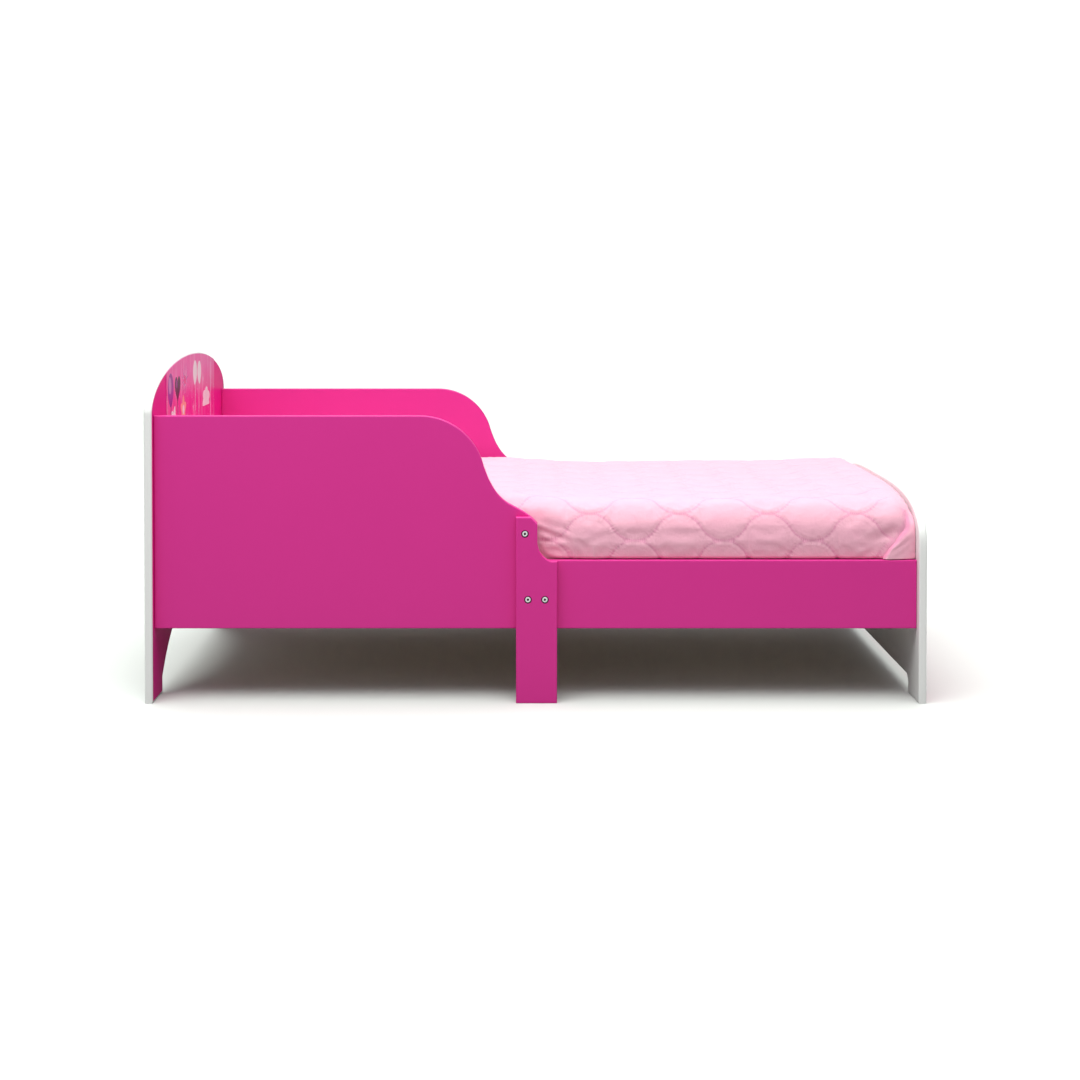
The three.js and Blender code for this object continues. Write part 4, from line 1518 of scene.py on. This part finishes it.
        gathers = layer.fan * (0.0016 * np.sin(layer.fan * 9.0 + 3.0 * np.sign(x * y)) - 0.001)
        covered = self.covered(layer)
        plain = self.outward(x, z, sideways) - 0.0015
        return height + upright * ((body + gathers) * (1.0 - covered) + plain * covered)

    @staticmethod
    def facing(normals: Array) -> Array:
        """How far each point faces sideways, in plan: a squared cosine."""
        return normals[:, 1] ** 2 / np.maximum((normals[:, :2] ** 2).sum(axis=1), 1e-9)

    def outward(self, x: Array, z: Array, sideways: Array) -> Array:
        """How far the sides swell out over the rails, past the guards."""
        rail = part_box("side_rail_near")[1][2]
        over = smooth(z, rail + 0.0005, rail + 0.005) * smooth(z, 0.347, 0.292)
        return self.overhang * smooth(x, 0.004, 0.075) * sideways * over

    def settle(self, points: Array) -> None:
        """Moves the top at the foot: up on the far side, and to the board's arch elsewhere."""
        x, y, z = points.T
        short = self.arch(y) - 0.0012 - self.box()[0][3]
        near = smooth(x, 0.625, 0.662) * smooth(y, -0.10, -0.22) * np.minimum(short, 0.0)
        far = smooth(x, 0.44, 0.63) * np.maximum(np.maximum(short, 0.0), self.rise * smooth(y, -0.05, 0.10))
        points[:, 2] += smooth(z, 0.275, 0.345) * (near + far)

    @staticmethod
    def arch(y: Array) -> Array:
        """Height of the footboard's arched top above each Y."""
        outline = EndBoards().foot_outline()
        upper = outline[(outline[:, 1] > 0.2) & (outline[:, 0] >= 0.0)]
        upper = upper[np.argsort(upper[:, 0])]
        return np.interp(np.abs(y), upper[:, 0], upper[:, 1])

    def run(self, x: Array, y: Array) -> Array:
        """Length along the cover's side from where the foot corner's turn begins, round the turn."""
        (length, width, _, _), centre = self.box()
        a, b = length - self.corner + centre[0], width - self.corner
        turn = np.arctan2(np.maximum(x - a, 0.0), np.maximum(np.abs(y) - b, 1e-6))
        return np.where(x < a, x - a, self.corner * turn)

    def fold_line(self, z: Array) -> Array:
        """Where the folded corner's edge runs at each height, as a length along the side."""
        runs, heights = np.array(self.flap).T
        return np.interp(z, heights[::-1], runs[::-1])

    def covered(self, layer: Layer) -> Array:
        """1 where the folded corner lies over the cloth, 0 elsewhere."""
        x, y, z = layer.points.T
        past = self.run(x, y) - self.fold_line(z)
        top = self.flap[0][1]
        return smooth(past, 0.002, 0.006) * smooth(z, top, top - 0.006) * (layer.side > 0.0)

    def roll(self, layer: Layer) -> None:
        """Turns the cloth in under the swollen sides, flat, just over the rails.

        The lowest row above the rail's top comes down to 1.9 mm over it, at the side's full swell, and the
        row below it comes up to 1.3 mm over it and stays between the rails.
        """
        x, y, z = layer.points.T
        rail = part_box("side_rail_near")[1][2] + 0.0003
        sideways = self.facing(layer.normals)
        share = smooth(x, 0.004, 0.075) * sideways * (layer.side > 0.9)
        lip = (z > rail) & (z <= rail + self.spacing)
        under = (z > rail - self.spacing) & (z <= rail)
        short = self.overhang * (1.0 - smooth(z, rail + 0.0002, rail + 0.0047)) * share
        layer.points[:, 1] += np.where(lip, short, 0.0) * np.sign(y)
        layer.points[:, 2] += np.where(lip, rail + 0.0016 - z, np.where(under, rail + 0.001 - z, 0.0)) * share

    def snapped(self, layer: Layer) -> tuple[Array, Array]:
        """Moves the points nearest to a seam onto it, so that each seam is one unbroken line of edges.

        Args:
            layer: the outer layer; its points and cloth coordinates are changed.

        Returns:
            Each point's distance to the seam and the length along it.
        """
        u, v = layer.cloth.T
        gap, to_u, to_v, length = self.quilting.nearest(u, v)
        plain = layer.fan > 0.02
        gap = np.where(plain, 0.05, gap)
        near = gap < self.spacing * 0.52
        move = np.where(near[:, None], np.stack((to_u - u, to_v - v), axis=1), 0.0)
        layer.points += move[:, :1] * layer.axes[:, 0] + move[:, 1:] * layer.axes[:, 1]
        layer.cloth += move
        return np.where(near, 0.0, gap), length

    def padding(self, layer: Layer, gap: Array) -> Array:
        """Height of the padding: it rises steeply from a seam, then slowly to the middle of its shell."""
        rise = 0.74 * (1.0 - np.exp(-gap / 0.0038)) + 0.26 * (1.0 - np.exp(-gap / 0.03))
        visible = smooth(layer.points[:, 2], 0.214, 0.235)
        flat = 0.55 + 0.45 * layer.side
        return visible * flat * (self.puff * rise - 0.0018) * (1.0 - self.covered(layer))

    def inflated(self, layer: Layer, gap: Array) -> Array:
        """Lets cloth between the seams swell and pucker by simulation.

        The seams and everything below the rails stay where they are. The cloth starts slightly padded and
        with a little more length than its place has, so that it ruckles along the seams as it fills.

        Args:
            layer: the outer layer, in place.
            gap: each point's distance to the seam.

        Returns:
            How far each point moved, at most `cap`.
        """
        start = layer.points + layer.normals * self.padding(layer, gap)[:, None] * 0.5
        thing = new_object("swelling", start, layer.faces, ())
        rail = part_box("side_rail_near")[1][2]
        held = (gap == 0.0) | (layer.points[:, 2] < rail + 0.0025) | (self.covered(layer) > 0.5)
        group = thing.vertex_groups.new(name="held")
        group.add(np.flatnonzero(held).tolist(), 1.0, "REPLACE")
        cloth = thing.modifiers.new("cloth", "CLOTH")
        for name, value in COTTON_IN_MOTION.items():
            setattr(cloth.settings, name, value)
        cloth.settings.vertex_group_mass = "held"
        cloth.settings.effector_weights.gravity = 0.0
        cloth.collision_settings.use_collision = False
        cloth.point_cache.frame_start, cloth.point_cache.frame_end = 1, self.frames
        scene = bpy.context.scene
        for number in range(1, self.frames + 1):
            scene.frame_set(number)
        graph = bpy.context.evaluated_depsgraph_get()
        result = thing.evaluated_get(graph).data
        moved = np.empty(len(result.vertices) * 3)
        result.vertices.foreach_get("co", moved)
        scene.frame_set(1)
        bpy.data.objects.remove(thing)
        drawn = layer.normals * self.padding(layer, gap)[:, None]
        move = self.swell * (moved.reshape(-1, 3) - layer.points) + (1.0 - self.swell) * drawn
        far = np.linalg.norm(move, axis=1, keepdims=True)
        return move * np.minimum(1.0, self.cap / np.maximum(far, 1e-9))

    def build(self, wardrobe: Wardrobe) -> None:
        """Makes the cover from its two layers, joined along the hem's inner edge."""
        outer, inner = self.layer(0.0, 1), self.layer(self.wall, self.coarse)
        outer.points += outer.normals * self.relief(outer)[:, None]
        inner.points += inner.normals * self.relief(inner)[:, None]
        self.roll(outer)
        gap, length = self.snapped(outer)
        outer.points += self.inflated(outer, gap)
        x, y, z = outer.points.T
        # Painted shade beside the corner folds: the seam distance is shortened there, so the cloth is painted
        # darker along the fold's edge.
        beside = 0.35 * np.abs(self.run(x, y) - self.fold_line(z)) + 0.0003
        fold_shade = (z < self.flap[0][1]) & (outer.side > 0.3) & (beside < gap)
        gap = np.where(fold_shade, beside, gap)
        for points in (outer.points, inner.points):
            self.settle(points)
            self._keep_clear(points)
        count = len(outer.points)
        rim, lining = outer.rim, inner.rim + count
        share = self.coarse
        starts = np.arange(0, rim.size, share)
        spans = [rim[(starts + j) % rim.size] for j in range(share, -1, -1)]
        hem = np.stack((*spans, lining, np.roll(lining, -1)), axis=1)
        back = [[corner + count for corner in face[::-1]] for face in inner.faces]
        cover = new_object(
            "quilted_cover",
            np.concatenate((outer.points, inner.points)),
            outer.faces + back + hem.tolist(),
            (wardrobe.get(QUILTED_COTTON),),
        )
        flat = np.concatenate((outer.cloth, inner.cloth))
        seam = np.concatenate((np.stack((length, gap), axis=1), np.full((len(inner.points), 2), 0.05)))
        add_uv(cover, "cloth", flat)
        add_uv(cover, "seam", seam)
        register(cover, BODY_MATTRESS, Slot.CLOTH, "mattress_cover")
        folds = [self.corner_fold(wardrobe, way) for way in (-1.0, 1.0)]

    def corner_fold(self, wardrobe: Wardrobe, way: float) -> Thing:
        """The cloth folded over at a foot corner: a flap with a round edge, carried round the corner.

        Rows follow the fold's edge from the top down to the rail. Along a row, t is the length from the
        edge. The flap's outer face stands sqrt(1 - (1 - t / lip)^2) of its height over the cover and sinks
        into it again past the corner. Its underside lies 2 mm inside the cover.

        Args:
            wardrobe: the finishes.
            way: -1 for the near corner and +1 for the far one.

        Returns:
            The fold.
        """
        rows, columns, lip, end = 34, 40, 0.007, 0.054
        a = np.linspace(0.0, 1.0, rows)[:, None]
        runs, heights = np.array(self.flap).T
        marks = np.linspace(0.0, 1.0, len(runs))
        wiggle = 0.0008 * np.sin(19.0 * a + 1.0) * np.sin(math.pi * a)
        z = np.interp(a, marks, heights)
        start = np.interp(a, marks, runs) + wiggle
        bend = np.roll(start, 1, 0) + np.roll(start, -1, 0) - 2 * start
        start = start + 0.25 * bend * ((a > 0) & (a < 1))
        t = (end - start) * np.linspace(0.0, 1.0, columns)[None, :] ** 1.7
        run = start + t
        round_edge = np.sqrt(np.clip(1.0 - (1.0 - np.minimum(t / lip, 1.0)) ** 2, 0.0, 1.0))
        tall = 0.0085 * smooth(a, 0.0, 0.22) * smooth(run, end, 0.036)
        creases = 0.0008 * np.sin(420.0 * t + 9.0 * a) * np.exp(-t / 0.016) * smooth(a, 0.45, 0.8)
        drape = 0.0012 * np.sin(95.0 * t - 5.0 * a + 0.6)
        outer = (tall + 0.002) * round_edge - 0.002 + (creases + drape) * round_edge * smooth(a, 0.0, 0.3)
        both = [self._on_side(run, z + 0.0 * run, lift) for lift in (outer, np.full_like(run, -0.002))]
        both[1] = both[1][:, ::-1]
        points = np.concatenate(both, axis=1)
        points[..., 1] *= -way
        flat = points.reshape(-1, 3)
        self.settle(flat)
        self._keep_clear(flat)
        flat[:, 2] = np.maximum(flat[:, 2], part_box("side_rail_near")[1][2] + 0.0014)
        across = 2 * columns
        faces = grid_faces(rows, across, wrap=True).tolist()
        for row in (0, (rows - 1) * across):
            for j in range(columns - 1):
                last = row + across - 1 - j
                faces.append((row + j, row + j + 1, last - 1, last))
        side = "near" if way < 0 else "far"
        fold = new_object(f"corner_fold_{side}", flat, faces, (wardrobe.get(QUILTED_COTTON),))
        u = np.broadcast_to(run, run.shape)
        cloth = np.stack((np.concatenate((u, u[:, ::-1]), axis=1), np.repeat(z, across, axis=1)), axis=-1)
        add_uv(fold, "cloth", cloth.reshape(-1, 2))
        # Painted shadow along the flap's edge: its first 2.2 mm get a seam distance near zero, so they are
        # painted fully dark.
        gap = np.concatenate((np.maximum(t - 0.0022, 0.0) + 0.0002, np.full_like(t, 0.05)), axis=1).ravel()
        add_uv(fold, "seam", np.stack((np.full_like(gap, 0.003), gap), axis=1))
        finish_mesh(fold)
        return register(fold, BODY_MATTRESS, Slot.CLOTH)

    def _on_side(self, run: Array, z: Array, lift: Array) -> Array:
        """Points of the cover's side at a length along it and a height, lifted off it, on the near side.

        The way out at height z is the superellipse flat + r (1 - (h / r)^m)^(1/m), h the height over the
        straight side, and the plan's corner is a superellipse too.
        """
        (length, width, _, top), centre = self.box()
        a, b, r = length - self.corner + centre[0], width - self.corner, self.shoulder
        turn = np.clip(run / self.corner, 0.0, math.pi / 2)
        way = np.stack((np.sin(turn), -np.cos(turn)), axis=-1)
        m = 2.0 + (self.squareness - 2.0) * way[..., 0] ** 2
        h = np.clip((z - (top - r)) / r, 0.0, 0.999)
        out = self.corner - r + r * (1.0 - h**m) ** (1.0 / m)
        fullness = np.sum(np.abs(way) ** self.squareness, axis=-1) ** (-1.0 / self.squareness)
        x = a + np.minimum(run, 0.0) + way[..., 0] * fullness * out
        y = -b + way[..., 1] * fullness * out
        swell = self.outward(x, z, way[..., 1] ** 2)
        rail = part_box("side_rail_near")[1][2]
        swell = np.where(z < rail + 0.005, np.maximum(swell, self.overhang * way[..., 1] ** 2), swell)
        tilt = h ** (m - 1.0)
        level = np.sqrt(np.clip(1.0 - tilt**2, 0.0, 1.0))
        reach = (lift + swell) * level
        return np.stack((x + way[..., 0] * reach, y + way[..., 1] * reach, z + lift * tilt), axis=-1)

    def _keep_clear(self, points: Array) -> None:
        """Keeps points clear of the boards at all four sides and of the slats."""
        x, y, z = points.T
        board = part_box("footboard")[0][0]
        points[:, 0] = np.clip(x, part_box("headboard_print")[1][0] + 0.0008, board - 0.0004)
        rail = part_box("side_rail_far")
        free = (z > rail[1][2] + 0.0012) & (x > 0.003)
        side = rail[0][1] - 0.0004 + free * 0.0140
        points[:, 1] = np.clip(y, -side, side)
        points[:, 2] = np.maximum(z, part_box("slat_01")[1][2] + 0.0003)


@dataclass
class MattressBlock:
    """The foam block in its woven ticking, which fills the cover."""

    inset: float = 0.0046
    share: int = 3
    crown: float = 0.0015

    def build(self, wardrobe: Wardrobe, cover: QuiltedCover) -> None:
        """Makes the block from the cover's own layer, further in, closed below by a copy of the top."""
        layer = cover.layer(self.inset, self.share)
        layer.points += layer.normals * np.minimum(cover.relief(layer), 0.0)[:, None]
        cover.settle(layer.points)
        base = layer.points[: layer.top].copy()
        floor = layer.points[layer.rim, 2].mean()
        x, y = base[:, 0] / np.abs(base[:, 0]).max(), base[:, 1] / np.abs(base[:, 1]).max()
        base[:, 2] = floor + self.crown * (1.0 - x**2) * (1.0 - y**2)
        count = len(layer.points)
        below = [[corner + count for corner in face[::-1]] for face in layer.faces if max(face) < layer.top]
        foot = layer.foot + count
        corners = np.stack((layer.rim, foot, np.roll(foot, -1), np.roll(layer.rim, -1)), axis=1)
        pinched = corners[:, 1] == corners[:, 2]
        skirt = corners[~pinched].tolist() + corners[pinched][:, [0, 1, 3]].tolist()
        points = np.concatenate((layer.points, base))
        block = new_object("mattress_block", points, layer.faces + below + skirt, (wardrobe.get(TICKING),))
        add_uv(block, "cloth", np.concatenate((layer.cloth, layer.cloth[: layer.top])))
        finish_mesh(block)
        register(block, BODY_MATTRESS, Slot.FOAM, "mattress_core")


@dataclass
class Studio:
    """Pale floor, soft light and the camera."""

    horizon: float = 0.754
    eye_x: float = -0.0243
    eye_distance: float = 3.11
    lens: float = 59.98
    tilt: float = 1.38
    shift: Pair = (0.0167, -0.21)
    horizon_glow: float = 0.20
    zenith_glow: float = 0.60
    backdrop: float = 1.1
    sun: float = 3.4
    sun_tint: Color = (0.93, 1.0, 0.93)
    sun_width: float = 72.0
    sun_lean: Pair = (1.0, -4.0)
    softbox: float = 11.7
    softbox_size: Pair = (1.8, 0.8)
    softbox_place: Color = (-0.30, -1.25, 1.65)
    softbox_aim: Color = (0.0, 0.0, 0.3)
    floor_half: float = 30.0

    def build(self, wardrobe: Wardrobe) -> None:
        """Makes the floor, the lights and the camera."""
        self._floor(wardrobe)
        self._light()
        self._camera()

    def _floor(self, wardrobe: Wardrobe) -> None:
        """A wide flat floor."""
        points = self.floor_half * np.array([(-1, -1, 0), (1, -1, 0), (1, 1, 0), (-1, 1, 0)])
        floor = new_object("floor", points, [(0, 1, 2, 3)], (wardrobe.get(PALE_FLOOR),))

    def _light(self) -> None:
        """A white surround that lights the bed softly, a wide high sun and a softbox over the near side."""
        world = bpy.data.worlds.new("surround")
        bpy.context.scene.world = world
        world.use_nodes = True
        build = NodeBuilder(world.node_tree)
        back = world.node_tree.nodes["Background"]
        level = build.parts(build.add("TexCoord").outputs["Generated"])[2]
        glow = build.remap(level, 0.0, 0.9, self.horizon_glow, self.zenith_glow)
        seen = build.add("LightPath").outputs["Is Camera Ray"]
        strength = build.math("MAXIMUM", glow, build.math("MULTIPLY", seen, self.backdrop))
        build.feed(back.inputs["Strength"], strength)
        back.inputs["Color"].default_value = (1.0, 1.0, 1.0, 1.0)
        sun = self._lamp("overhead", "SUN", self.sun)
        sun.data.color = self.sun_tint
        sun.data.angle = math.radians(self.sun_width)
        sun.rotation_euler = (*(math.radians(lean) for lean in self.sun_lean), 0.0)
        box = self._lamp("softbox", "AREA", self.softbox)
        box.data.shape = "RECTANGLE"
        box.data.size, box.data.size_y = self.softbox_size
        box.location = self.softbox_place
        aim = Vector(self.softbox_aim) - Vector(self.softbox_place)
        box.rotation_euler = aim.to_track_quat("-Z", "Y").to_euler()
        bpy.context.scene.view_settings.view_transform = "Standard"

    @staticmethod
    def _lamp(name: str, kind: str, energy: float) -> Thing:
        """Adds a lamp. Args: its name, its kind and its energy."""
        data = bpy.data.lights.new(name, kind)
        data.energy = energy
        lamp = bpy.data.objects.new(name, data)
        bpy.context.scene.collection.objects.link(lamp)
        return lamp

    def _camera(self) -> None:
        """A nearly level camera at the near side, its view shifted down to keep upright edges upright."""
        data = bpy.data.cameras.new("camera")
        data.lens = self.lens
        data.sensor_width = 36.0
        data.shift_x, data.shift_y = self.shift
        camera = bpy.data.objects.new("camera", data)
        bpy.context.scene.collection.objects.link(camera)
        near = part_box("headboard")[0][1]
        camera.location = (self.eye_x, near - self.eye_distance, self.horizon)
        camera.rotation_euler = (math.radians(90 - self.tilt), 0.0, 0.0)
        bpy.context.scene.camera = camera


def main() -> None:
    """Builds the bed in order."""
    logging.basicConfig(level=logging.INFO, format="%(message)s")
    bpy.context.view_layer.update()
    wardrobe = Wardrobe()
    Studio().build(wardrobe)
    EndBoards().build(wardrobe)
    SideBoards().build(wardrobe)
    Pictures().build(wardrobe)
    Fasteners().build(wardrobe)
    Deck().build(wardrobe)
    SlatScrews().build(wardrobe)
    cover = QuiltedCover()
    MattressBlock().build(wardrobe, cover)
    cover.build(wardrobe)


if __name__ == "__main__":
    main()
